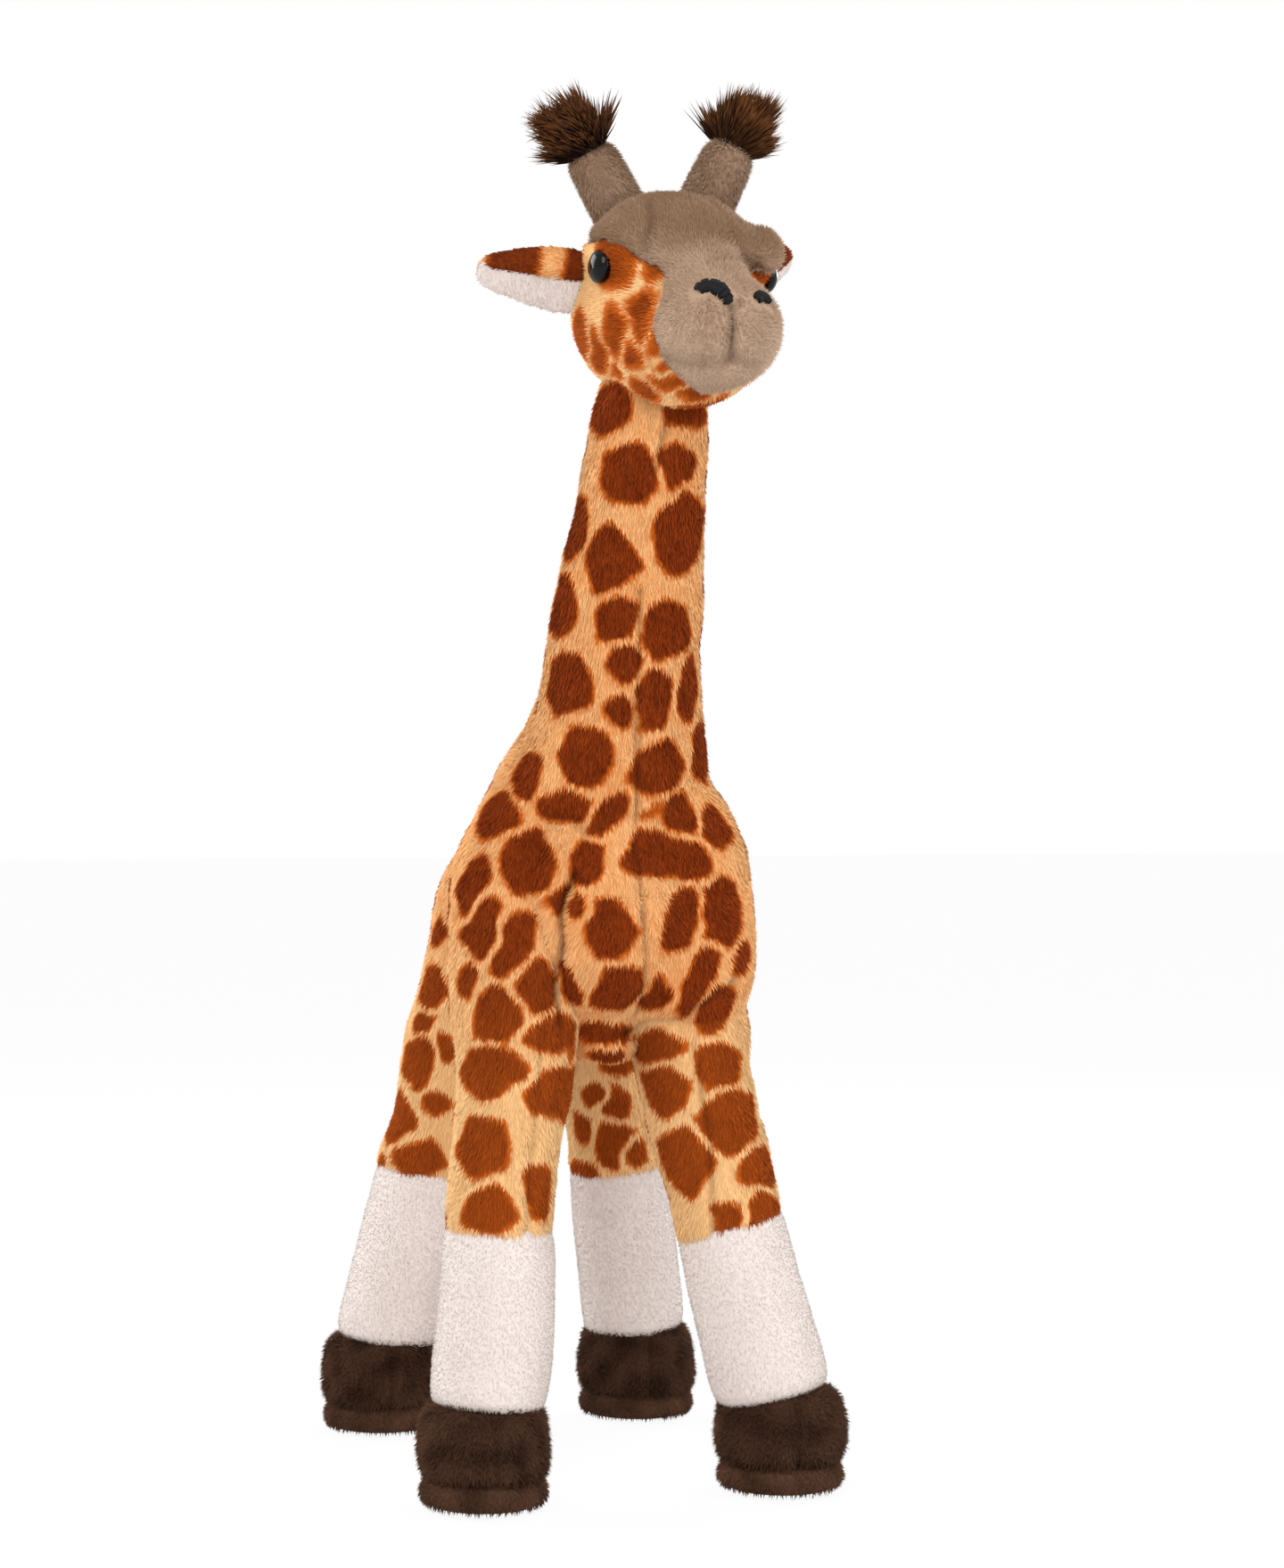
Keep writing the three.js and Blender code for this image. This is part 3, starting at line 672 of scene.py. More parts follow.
def cutOff(obj, name, upper):
    form = bmesh.new()
    form.from_mesh(obj.data)
    seam = chest["neckSeam"]
    cutPlane(form, place(*seam["at"]), Vector(seam["way"]), clear_inner=upper, clear_outer=not upper)
    shown = form.faces.layers.float.new("shown")
    for f in form.faces:
        f[shown] = 1
    caps = bmesh.ops.holes_fill(form, edges=[e for e in form.edges if e.is_boundary], sides=0)["faces"]
    for f in bmesh.ops.triangulate(form, faces=caps)["faces"]:
        f[shown] = 0
    return objectOf(form, name)


# Legs: height, side, half width and half depth of each ring, and the middle of the hoof
legs = {
    "front_right": {
        "rings": [
            (306, -29, 5, 6), (300, -30, 12, 15), (290, -33, 19, 22), (277, -35, 24, 27),
            (263, -37, 28.5, 31), (249, -40, 31.5, 33), (235, -41.5, 32, 34), (215, -43, 30.3, 32.5),
            (195, -45, 27.9, 30), (172, -46.5, 25.4, 27), (137, -50, 23.7, 25), (112, -53.5, 23.6, 24.9),
            (105, -54.3, 23.8, 25.1), (103.4, -54.5, 20, 21),
        ],
        "sock": [
            (112, -53.6, 18, 19), (109, -53.9, 21.6, 22.6), (100, -54, 22.6, 23.4), (85, -54.6, 22.8, 23.6),
            (68, -55.8, 23.4, 24.2), (47, -58.4, 23.2, 24.2), (40, -59.8, 22, 23.5), (36.5, -60, 18, 19),
        ],
        "hoof": (-61, -90),
    },
    "front_left": {
        "rings": [
            (285, 16, 8, 12), (277, 17, 17, 20), (263, 18, 24, 26), (249, 19.5, 27, 29),
            (235, 20.5, 28.5, 30), (215, 22.5, 28.5, 30), (195, 25, 27.4, 28.5), (170, 27.9, 25.2, 27),
            (153, 31, 24.4, 26), (135, 35.6, 24.3, 25), (112, 41.3, 24, 24.9), (105, 43, 24, 25.1),
            (103.4, 43.4, 20, 21),
        ],
        "sock": [
            (112, 41.4, 18, 19), (109, 42.1, 21.6, 22.6), (100, 44, 22.2, 23.2), (85, 47, 22.5, 23.4),
            (63, 52.8, 23.8, 24.2), (47, 57, 24.2, 24.4), (40, 58.6, 23.6, 23.9), (36.5, 59.2, 18.4, 19),
        ],
        "hoof": (62, -90),
    },
    "rear_right": {
        "rings": [
            (266, -9, 6, 8), (260, -10, 15, 18), (250, -12, 22, 25), (236, -14, 25.5, 28),
            (215, -19, 25.5, 28), (190, -25, 24.6, 27), (160, -32, 23.6, 25.5), (135, -37.5, 22.8, 24.5),
            (117, -41.8, 23.2, 24.8), (112, -42.8, 23.4, 25), (110.4, -43.2, 19.6, 21),
        ],
        "sock": [
            (119, -41.2, 17.5, 19), (116, -42, 21.2, 22.6), (106, -44.2, 21.7, 23.2), (85, -49, 22, 23.5),
            (60, -54.8, 22.5, 24), (47, -57.8, 22.4, 24), (40, -59.4, 21.8, 23.5), (36.5, -60, 18, 19),
        ],
        "hoof": (-61, 90),
    },
    "rear_left": {
        "rings": [
            (266, 26, 6, 8), (260, 27, 15, 18), (250, 28, 22, 25), (236, 29.5, 25, 28), (215, 32, 25, 28),
            (190, 35.4, 24.2, 27), (160, 39.2, 23.4, 25.5), (135, 42.7, 22.8, 24.5), (117, 45, 23.2, 24.8),
            (112, 45.6, 23.4, 25), (110.4, 45.9, 19.6, 21),
        ],
        "sock": [
            (119, 44.7, 17.5, 19), (116, 45.1, 21.2, 22.6), (106, 46.4, 21.7, 23.2), (85, 49.2, 22, 23.5),
            (60, 52.6, 22.6, 24), (47, 54.4, 22.8, 24), (40, 55.2, 22.2, 23.5), (36.5, 55.6, 18, 19),
        ],
        "hoof": (56, 90),
    },
}
hips = {"front": -76, "rear": 74, "height": 240, "ankle": 38, "inset": {"rings": 2.6, "sock": 0.2}}


def legForm(name, key):
    hip, foot = hips[name.split("_")[0]], legs[name]["hoof"][1]
    rows = []
    for height, side, wide, deep in legs[name][key]:
        share = min(max((height - hips["ankle"]) / (hips["height"] - hips["ankle"]), 0), 1)
        rows.append((side, foot + (hip - foot) * share, height, wide, deep))
    return rows, hips["inset"][key]


legSkins = {}
for number, name in enumerate(legs):
    legSkins[name] = drawnSkin(name + "_leg_skin", legForm(name, "rings"), voxel=1.9, smooth=6)
    stuffed(legSkins[name], 31 + number * 3, 0.8)

# Head: lobes about its own middle, each with its half sizes
head = {
    "middle": (4, -122, 468),
    "turned": 6,
    "brow": {"height": (4, 14), "front": (6, 20)},
    "lobes": [
        ((0, 0, -3), (38, 42, 35)),
        ((3, 1, 17), (36.5, 34, 31)),
        ((0, -14, 10), (30, 26, 25)),
        ((2.5, -36, -12), (29, 27.5, 26)),
        ((1, -24, 7), (24, 24, 20)),
        ((0, -18, -19), (30, 31, 23)),
        ((30.5, -13, 21), (13.5, 21, 14.5)),
        ((-24.5, -6, 20), (14, 21, 14.5)),
    ],
    "inset": 2.6,
}
headTurn = Matrix.Rotation(math.radians(head["turned"]), 4, "Z")


def headPoint(x, y, z):
    return Vector(head["middle"]) + headTurn @ Vector((x, y, z))


def headPlace(x, y, z):
    return place(*headPoint(x, y, z))


def headWay(way):
    return headTurn.to_3x3() @ Vector(way).normalized()


def inHead(points):
    return (points - np.array(place(*head["middle"]))) @ np.array(headTurn.to_3x3()) / mm


# The same path on the other side of the head, lower by so many millimetres at the brow
def mirrored(path, lower=0):
    there = []
    for p in path:
        x, y, z = inHead(np.array([p]))[0]
        z -= lower * smoothStep(z, *head["brow"]["height"]) * smoothStep(-y, *head["brow"]["front"])
        there.append(headPlace(-x, y, z))
    return there


form = bmesh.new()
for centre, size in head["lobes"]:
    scale = Matrix.Diagonal(tuple((s - head["inset"]) * mm for s in size) + (1,))
    addBall(form, 40, 24, 1, Matrix.Translation(headPlace(*centre)) @ headTurn @ scale)
headSkin = rounded(form, "head_skin", voxel=1.5, smooth=5, level=0, coarse=2.6)
stuffed(headSkin, 61, 0.5)


# A pixel of the enlarged head, as a pixel of the photograph
closer = {"left": 500, "top": 60, "scale": 3.484}


def closeUp(*pixels):
    return [(closer["left"] + x / closer["scale"], closer["top"] + y / closer["scale"]) for x, y in pixels]


# Face: where the taupe cloth meets the print, seen in the photograph on one side and mirrored to the other
face = {
    "seam": closeUp(
        (558, 730), (600, 722), (650, 724), (705, 745), (760, 782), (800, 812), (848, 860), (846, 935),
        (822, 1010), (812, 1080), (828, 1150), (862, 1212), (915, 1272), (985, 1320),
    ),
    "overCrown": [(-31, 6, 30), (-27, 18, 33), (-16, 26, 36), (0, 29, 38)],
    "underChin": [(-8, -34, -36), (0, -35, -37)],
    "from": (0, 4, -2),
    "axis": (0, -0.93, 0.36),
    "farLower": 5,
    "groove": {"depth": 2.3, "width": 2.6, "shadeMark": 0.45, "shadeWidth": 1.8},
    "overlap": 0.9,
    "proud": 0.6,
    "thickness": 1.2,
    "pale": {"chin": (0.25, -2, 26), "nose": (0.1, 30, 52), "brow": (-0.34, 12, 28)},
}
headTree = treeOf(headSkin)


def faceMap(local):
    axis = np.array(face["axis"]) / np.linalg.norm(face["axis"])
    over = np.cross((1, 0, 0), axis)
    way = local - np.array(face["from"])
    way /= lengths(way)[:, None]
    angle = np.arccos(np.clip(way @ axis, -1, 1))
    flat = np.stack([way[:, 0], way @ over], axis=1)
    return flat / np.maximum(lengths(flat), 1e-6)[:, None] * angle[:, None]


def toHead(x, y, z):
    centre = headPlace(*face["from"])
    away = (headPlace(x, y, z) - centre).normalized()
    return headTree.ray_cast(centre + away * 0.2, -away)[0]


overCrown = [toHead(*p) for p in reversed(face["overCrown"])]
halfSeam = overCrown + onCloth(headTree, face["seam"]) + [toHead(*p) for p in face["underChin"]]
loop = halfSeam + mirrored(halfSeam, face["farLower"])[-2::-1]
seamLoop = []
for a, b in zip(loop[:-1], loop[1:]):
    steps = max(2, int((b - a).length / (2 * mm)))
    seamLoop += [headTree.find_nearest(a.lerp(b, i / steps))[0] for i in range(steps)]
seamLoop.append(seamLoop[0])


# Millimetres from each point to the seam, above nought on the taupe side
def faceField(points):
    here = faceMap(inHead(points))
    edge = faceMap(inHead(np.array(seamLoop)))
    inside = np.zeros(len(here), bool)
    for a, b in zip(edge[:-1], edge[1:]):
        crosses = (a[1] > here[:, 1]) != (b[1] > here[:, 1])
        at = (b[0] - a[0]) * (here[:, 1] - a[1]) / (b[1] - a[1] if b[1] != a[1] else 1e-9) + a[0]
        inside ^= crosses & (here[:, 0] < at)
    return np.where(inside, 1, -1) * nearPath(points, seamLoop) / mm


# Creases of the face, as seen in the photograph: pixels, width, depth and how much shade is painted into them
creases = {
    "browLeft": ([(825, 242), (843, 255), (856, 270), (867, 286)], 2.6, 1.6, 0.3),
    "dart": (closeUp((792, 590), (806, 640), (796, 700), (768, 780)), 2.6, 2.2, 0.5),
    "noseTop": (closeUp((1050, 812), (1110, 806), (1180, 826), (1245, 874)), 2.4, 1.6, 0.3),
    "nose": (closeUp((1122, 985), (1126, 1060), (1120, 1130), (1118, 1200)), 2.3, 3.0, 1.0),
    "noseRight": (closeUp((1095, 965), (1108, 985), (1122, 1000)), 1.8, 2.2, 0.9),
    "noseLeft": (closeUp((1150, 968), (1135, 985), (1122, 1000)), 1.8, 1.8, 0.7),
    "mouth": (
        closeUp((880, 1196), (960, 1222), (1050, 1214), (1122, 1203), (1200, 1212), (1280, 1216)),
        4.0, 2.2, 0.3,
    ),
}
field = faceField(pointsOf(headSkin))
# The face seam is pressed in as a groove, with shade painted along it
groove = face["groove"]
pushOut(headSkin, -groove["depth"] * mm * hump(field, groove["width"]))
give(headSkin, "crease", groove["shadeMark"] * hump(field, groove["shadeWidth"]))
for name, (pixels, *crease) in creases.items():
    path = onCloth(headTree, pixels)
    pressSeam(headSkin, path, *crease)
    if name == "dart":
        pressSeam(headSkin, mirrored(path), *crease)

# Eyes: a glossy dome sunk in the pile on each side
eye = {
    "back": -11, "height": 14.5, "way": (0.995, -0.04, 0.08), "radius": 6.8, "rise": 0.62, "sunk": 0.2,
    "socketWidth": 9, "socketDepth": 1.4, "clear": 6.2,
}
eyePlaces = {}
headTree = treeOf(headSkin)
for side, name in ((1, "left"), (-1, "right")):
    hit = headTree.ray_cast(headPlace(80 * side, eye["back"], eye["height"]), headWay((-side, 0, 0)))[0]
    way = headWay((eye["way"][0] * side, *eye["way"][1:]))
    eyePlaces[name] = (hit, way)
    points = pointsOf(headSkin)
    socket = eye["socketDepth"] * mm * hump(lengths(points - np.array(hit)), eye["socketWidth"] * mm)
    setPoints(headSkin, points - np.array(way) * socket[:, None])

form = bmesh.new()
form.from_mesh(headSkin.data)
field = faceField(pointsOf(headSkin))
form.verts.ensure_lookup_table()
printed = [v for v in form.verts if field[v.index] < -face["overlap"]]
bmesh.ops.delete(form, geom=printed, context="VERTS")
seamPoints = np.array(seamLoop)
for vert in [v for v in form.verts if v.is_boundary]:
    nearest = seamPoints[np.argmin(lengths(seamPoints - np.array(vert.co)))]
    vert.co = vert.co.lerp(headTree.find_nearest(Vector(nearest))[0], 0.8)
faceSkin = objectOf(form, "face_skin")
setPoints(faceSkin, pointsOf(faceSkin) + normalsOf(faceSkin) * face["proud"] * mm)
wall = faceSkin.modifiers.new("wall", "SOLIDIFY")
wall.thickness = face["thickness"] * mm
wall.offset = -1
settled(faceSkin)

# Ears: a printed leaf rolled over the top of a white one
ear = {
    "roots": {"left": (32, 12, 12), "right": (29, 12, 10.5)},
    "lengths": {"left": 51, "right": 43},
    "ways": {"left": (34, 24), "right": (18, 10)},
    "leaf": [
        (-0.06, 10.5), (0.08, 12.6), (0.25, 13), (0.45, 12), (0.62, 10.4), (0.78, 8.2), (0.9, 6.8), (0.97, 5),
        (1.0, 3),
    ],
    "tilt": -22,
    "droop": -2.5,
    "rolls": {"left": (3.6, 0.74), "right": (6.0, 0.46)},
    "tipShare": 0.9,
    "band": {"at": 14, "half": 5, "edge": 0.16, "shadeMark": 0.4},
}


def earFrame(name):
    side = 1 if name == "left" else -1
    sweep, lift = (math.radians(a) for a in ear["ways"][name])
    way = headWay((math.cos(sweep) * side, math.sin(sweep), math.tan(lift)))
    x, y, z = ear["roots"][name]
    back = Vector((-way.y * side, way.x * side, 0)).normalized()
    up = way.cross(back) * side
    tilt = math.radians(ear["tilt"])
    wide = up * math.cos(tilt) + back * math.sin(tilt)
    deep = back * math.cos(tilt) - up * math.sin(tilt)
    return headPoint(x * side, y, z), way, wide, deep


def leafForm(name, upShift, backShift, widthShare, deepest, longest=1.0):
    start, way, wide, deep = earFrame(name)
    rows = []
    for share, half in ear["leaf"]:
        at = start + way * ear["lengths"][name] * share * longest + wide * upShift * (1 - share * 0.35)
        at = at + deep * backShift + Vector((0, 0, ear["droop"])) * share * share
        rows.append((*at, half * widthShare, deepest * (0.45 + 0.55 * half / 12.6)))
    return rows, 0, 16, wide


earBacks, earLinings = {}, {}
for name in ("left", "right"):
    rollUp, rollWide = ear["rolls"][name]
    leaf, roll = leafForm(name, 0.5, 1.8, 0.98, 2.8, 0.98), leafForm(name, rollUp, -0.8, rollWide, 4.2, 0.94)
    earBacks[name] = drawnSkin(name + "_ear_back_skin", leaf, roll, voxel=1.3, level=1)
    leaf = leafForm(name, -1.2, -1.2, 0.98, 2.3)
    earLinings[name] = drawnSkin(name + "_ear_lining_skin", leaf, voxel=1.3, level=1)
print("forms")

# Printed patches on the side that the photograph shows: middle, width and height in its pixels, and a lean
# in degrees
patches = {
    "neck": [
        (679, 457, 43, 53), (776, 463, 50, 27), (703, 530, 65, 60), (759, 521, 43, 46), (766, 596, 50, 85, 8),
        (646, 589, 24, 70, 6), (679, 626, 44, 78, 10), (630, 677, 26, 70, 4), (693, 692, 52, 50),
        (749, 702, 56, 60), (789, 705, 10, 33), (636, 765, 45, 68), (701, 742, 36, 46), (734, 783, 38, 70),
        (772, 768, 18, 72), (698, 796, 38, 35), (598, 800, 18, 50), (655, 846, 60, 65), (741, 861, 54, 58),
        (786, 838, 20, 66),
    ],
    "chest": [
        (592, 868, 30, 56), (631, 904, 60, 30), (681, 912, 26, 60, 38), (752, 916, 48, 57, 12),
        (802, 927, 32, 45), (555, 912, 36, 50, 20), (532, 991, 24, 78, 14), (593, 967, 58, 68),
        (658, 967, 34, 52), (747, 967, 92, 28), (544, 1039, 42, 72, 10), (575, 1058, 30, 88, 30),
        (630, 1008, 15, 36, 20), (684, 1042, 52, 66), (764, 1030, 44, 70, 22), (808, 1022, 44, 80),
        (604, 1107, 38, 62), (639, 1107, 20, 50), (696, 1110, 54, 46), (731, 1114, 25, 42, 18),
        (784, 1098, 26, 92, 28), (831, 1073, 17, 40), (524, 1097, 18, 45), (558, 1139, 55, 60),
        (802, 1131, 40, 55, 20), (667, 1158, 85, 20), (730, 1173, 53, 27),
    ],
    "frontLegs": [
        (548, 1200, 72, 56), (631, 1223, 50, 64), (538, 1284, 56, 70), (632, 1292, 28, 46),
        (548, 1358, 65, 53), (605, 1337, 26, 70, 4), (744, 1222, 55, 62), (807, 1194, 56, 54),
        (824, 1255, 62, 76), (764, 1297, 60, 70), (856, 1307, 34, 46), (818, 1366, 36, 44),
        (862, 1360, 44, 40),
    ],
    "rear": [
        (492, 1044, 14, 30), (484, 1105, 25, 52), (475, 1145, 21, 27), (467, 1188, 34, 55),
        (496, 1175, 12, 40), (446, 1252, 28, 46), (489, 1236, 30, 25), (466, 1300, 60, 30),
        (429, 1307, 10, 24), (667, 1228, 28, 26), (691, 1236, 30, 38), (656, 1267, 22, 32),
        (684, 1282, 34, 54), (711, 1289, 24, 34), (651, 1314, 28, 22),
    ],
    "head": [
        (688, 294, 44, 46), (735, 300, 20, 34), (648, 322, 12, 40), (691, 376, 22, 56), (707, 398, 22, 30),
        (722, 356, 16, 60), (736, 384, 16, 50), (652, 380, 22, 46), (672, 400, 26, 34), (748, 428, 40, 14),
        (722, 437, 26, 10), (785, 443, 50, 8), (742, 410, 14, 30), (690, 415, 16, 14), (856, 286, 34, 70),
    ],
    "shoulderFold": [(630, 1163, 60, 34), (692, 1193, 42, 20)],
}
patchwork = {
    "sides": (5, 6), "wander": 0.28, "uneven": 0.12, "fullness": 1.1, "legFullness": 0.97, "corner": 1.1,
    "lane": 2.5, "spacing": 24, "gap": 7.5, "softness": 2.2, "headSoftness": 4.6, "flattest": 0.4,
    "facing": 0.05, "reach": 1.6, "margin": 8, "seen": (0.06, 0.2), "cellShare": 0.6, "gapShare": 0.8,
    "tries": 5000, "apart": (0.8, 1.15), "seed": 900,
}


# A patch is an uneven polygon of a few straight sides, on a plane that touches the cloth at its middle
def layPatch(number, patch, tree, fullness):
    px, py, wide, tall, lean = (*patch, 0)[:5]
    start, way = photoRay(px, py)
    middle, normal, _, _ = tree.ray_cast(start, way)
    if middle is None:
        return None
    across = normal.cross(Vector((0, 0, 1))).normalized()
    over = across.cross(normal)
    perPixel = (middle - start).dot(lookWay) / photo["focal"] / mm
    halfWide = wide / 2 * perPixel / max(abs(across.dot(photoRight)), patchwork["flattest"])
    halfTall = tall / 2 * perPixel / max(abs(over.dot(photoUp)), patchwork["flattest"])
    draw = np.random.default_rng(patchwork["seed"] + number)
    count = int(draw.integers(patchwork["sides"][0], patchwork["sides"][1] + 1))
    first = draw.uniform(0, 2 * math.pi)
    leaning = math.radians(lean) * (1 if across.dot(photoRight) < 0 else -1)
    sides = []
    for i in range(count):
        angle = first + (i + draw.uniform(-1, 1) * patchwork["wander"]) * 2 * math.pi / count
        reach = math.hypot(halfWide * math.cos(angle), halfTall * math.sin(angle))
        reach *= fullness * (1 - patchwork["uneven"] * draw.random())
        sides.append((math.cos(angle + leaning), math.sin(angle + leaning), reach))
    middle, normal, across, over = (np.array(v) for v in (middle, normal, across, over))
    plane = {"middle": middle, "normal": normal, "across": across, "over": over}
    return {**plane, "sides": sides, "size": max(halfWide, halfTall)}


def seenPatches(points, normals):
    warp = warpOf(points, (9, 700, 0.5))
    best = np.full(len(points), -30.0)
    second = best.copy()
    for patch in laid:
        way = points - patch["middle"]
        facing = normals @ patch["normal"] > patchwork["facing"]
        near = lengths(way) < (patch["size"] * patchwork["reach"] + patchwork["margin"]) * mm
        close = np.nonzero(near & facing)[0]
        if not len(close):
            continue
        here = (way[close] + warp[close]) / mm
        flat = np.stack([here @ patch["across"], here @ patch["over"]], axis=1)
        gaps = np.stack([reach - flat @ np.array((c, d)) for c, d, reach in patch["sides"]])
        inside = -np.log(np.sum(np.exp(-gaps / patchwork["corner"]), axis=0)) * patchwork["corner"]
        second[close] = np.maximum(second[close], np.minimum(best[close], inside))
        best[close] = np.maximum(best[close], inside)
    return np.minimum(best, best - second - patchwork["lane"])


# Where the photograph shows nothing, the patches are the cells between scattered middles
def unseenPatches(points, seeds):
    warp = warpOf(points, (16, 720, 1.2), (7, 730, 0.4))
    far = np.sort(np.linalg.norm((points + warp)[:, None, :] - seeds[None, :, :], axis=2), axis=1)
    return (far[:, 1] - far[:, 0]) / mm * patchwork["cellShare"] - patchwork["gap"] / 2


def scatterSeeds(points, seed, spacing=patchwork["spacing"]):
    draw = np.random.default_rng(seed)
    seeds = []
    for i in draw.permutation(len(points))[:patchwork["tries"]]:
        gap = spacing * mm * draw.uniform(*patchwork["apart"])
        if not seeds or np.min(lengths(np.array(seeds) - points[i])) > gap:
            seeds.append(points[i])
    return np.array(seeds)


def softEdge(inside, softness=patchwork["softness"]):
    return np.clip(0.5 + inside / 2 / softness, 0, 1)


def printOn(skin, seeds, softness=patchwork["softness"]):
    points, normals = pointsOf(skin), normalsOf(skin)
    ways = points - np.array(eyePoint)
    ways /= lengths(ways)[:, None]
    seen = smoothStep(-np.sum(ways * normals, axis=1), *patchwork["seen"])
    for i in np.nonzero(seen > 0)[0]:
        way = Vector(points[i]) - eyePoint
        if allSkins.ray_cast(eyePoint, way.normalized(), way.length - hidden)[0] is not None:
            seen[i] = 0
    mine = seenPatches(points, normals)
    wild = unseenPatches(points, seeds)
    rest = np.maximum(mine, np.minimum(wild, -mine - patchwork["gap"] * patchwork["gapShare"]))
    return softEdge(mine * seen + rest * (1 - seen), softness)


# Seams that the pile half hides, and the folds over the shoulder and under the chest: pixels, width, depth
# and how much shade is painted into them
bodySeams = {
    "throat": ([(750, 466), (742, 499), (734, 529)], 2.0, 1.6, 0.6),
    "chest": (
        [
            (718, 662), (718, 716), (716, 775), (713, 800), (715, 838), (716, 877), (715, 915), (712, 954),
            (720, 995), (722, 1031), (724, 1082), (722, 1108), (717, 1133), (706, 1160),
        ],
        1.9, 1.9, 0.6,
    ),
    "shoulderFold": ([(590, 913), (613, 919), (634, 917), (649, 926), (657, 936)], 3.0, 2.2, 0.4),
    "shoulder": (
        [(644, 979), (634, 1002), (627, 1026), (629, 1056), (626, 1095), (627, 1120), (631, 1150)],
        2.2, 4.2, 1.0,
    ),
    "underChest": ([(631, 1154), (711, 1159), (762, 1159), (785, 1131), (824, 1100)], 3.2, 2.6, 0.8),
}
rightLegSeam = ([(608, 1159), (604, 1218), (599, 1277), (595, 1307), (593, 1351), (592, 1381)], 2.0, 1.2, 0.3)
leftLegSeam = ([(779, 1174), (785, 1218), (794, 1263), (797, 1295), (798, 1336), (800, 1381)], 2.0, 1.4, 0.5)
legSeams = [
    ("front_right", bodySeams["shoulder"]), ("front_right", rightLegSeam), ("front_left", leftLegSeam),
]
bodyTree = treeOf(bodySkin)
for seam in bodySeams.values():
    pressSeen(bodySkin, bodyTree, *seam)
for name, seam in legSeams:
    pressSeen(legSkins[name], treeOf(legSkins[name]), *seam)
torsoSkin, neckSkin = cutOff(bodySkin, "torso_skin", False), cutOff(bodySkin, "neck_skin", True)
trees = {"neck": treeOf(neckSkin), "head": treeOf(headSkin), "body": treeOf(bodySkin)}
legTrees = {name: treeOf(skin) for name, skin in legSkins.items()}
allSkins = treeOf(bodySkin, headSkin, *legSkins.values())
laid, listed = [], [(group, patch) for group, some in patches.items() for patch in some]
for number, (group, patch) in enumerate(listed):
    fullness = patchwork["legFullness" if group == "frontLegs" else "fullness"]
    laid.append(layPatch(number, patch, allSkins, fullness))
laid = [patch for patch in laid if patch]
print(len(laid), "of", len(listed), "patches lie on the cloth")
bodySeeds = scatterSeeds(pointsOf(bodySkin), 801)
spots = {"torso": printOn(torsoSkin, bodySeeds), "neck": printOn(neckSkin, bodySeeds)}
for number, (name, skin) in enumerate([*legSkins.items(), ("head", headSkin)]):
    softness = patchwork["headSoftness" if name == "head" else "softness"]
    spots[name] = printOn(skin, scatterSeeds(pointsOf(skin), 811 + number), softness)
bpy.data.objects.remove(bodySkin)
print("patches")


def outFrom(x, y, z):
    centre = np.array(place(x, y, z))
    return lambda points: points - centre


def downAndOut(points):
    return (points - np.array(place(0, 0, 0))) * (4, 0, 0) + (0, 0.7, -0.7)


# The legs' print pales downwards, from the high one of these heights to the low one
legFade = {"most": 0.6, "low": 150, "high": 250}
neckBend = {"from": "torso", "to": "neck", "start": (-9, -67, 258), "end": (-7, -82, 300)}
dress(
    torsoSkin, "print_plush", "print", downAndOut, ["torso_cover", "torso_stuffing"], 201,
    body="torso", hiders=legTrees.values(), spots=spots["torso"],
)
dress(
    neckSkin, "print_plush", "print", (0, -0.1, -1), ["neck_cover", "neck_stuffing"], 205,
    bend=neckBend, hiders=[trees["head"], legTrees["front_right"]], spots=spots["neck"],
)
for number, (name, skin) in enumerate(legSkins.items()):
    hiders = [trees["body"]] + [t for key, t in legTrees.items() if key != name]
    pale = legFade["most"] * smoothStep(-pointsOf(skin)[:, 2] / mm, -legFade["high"], -legFade["low"])
    dress(
        skin, "print_plush", "print", (0, 0.15, -1), [name + "_leg_cover", name + "_leg_stuffing"],
        211 + number * 5, body=name + "_leg", hiders=hiders, spots=spots[name], pale=pale,
    )

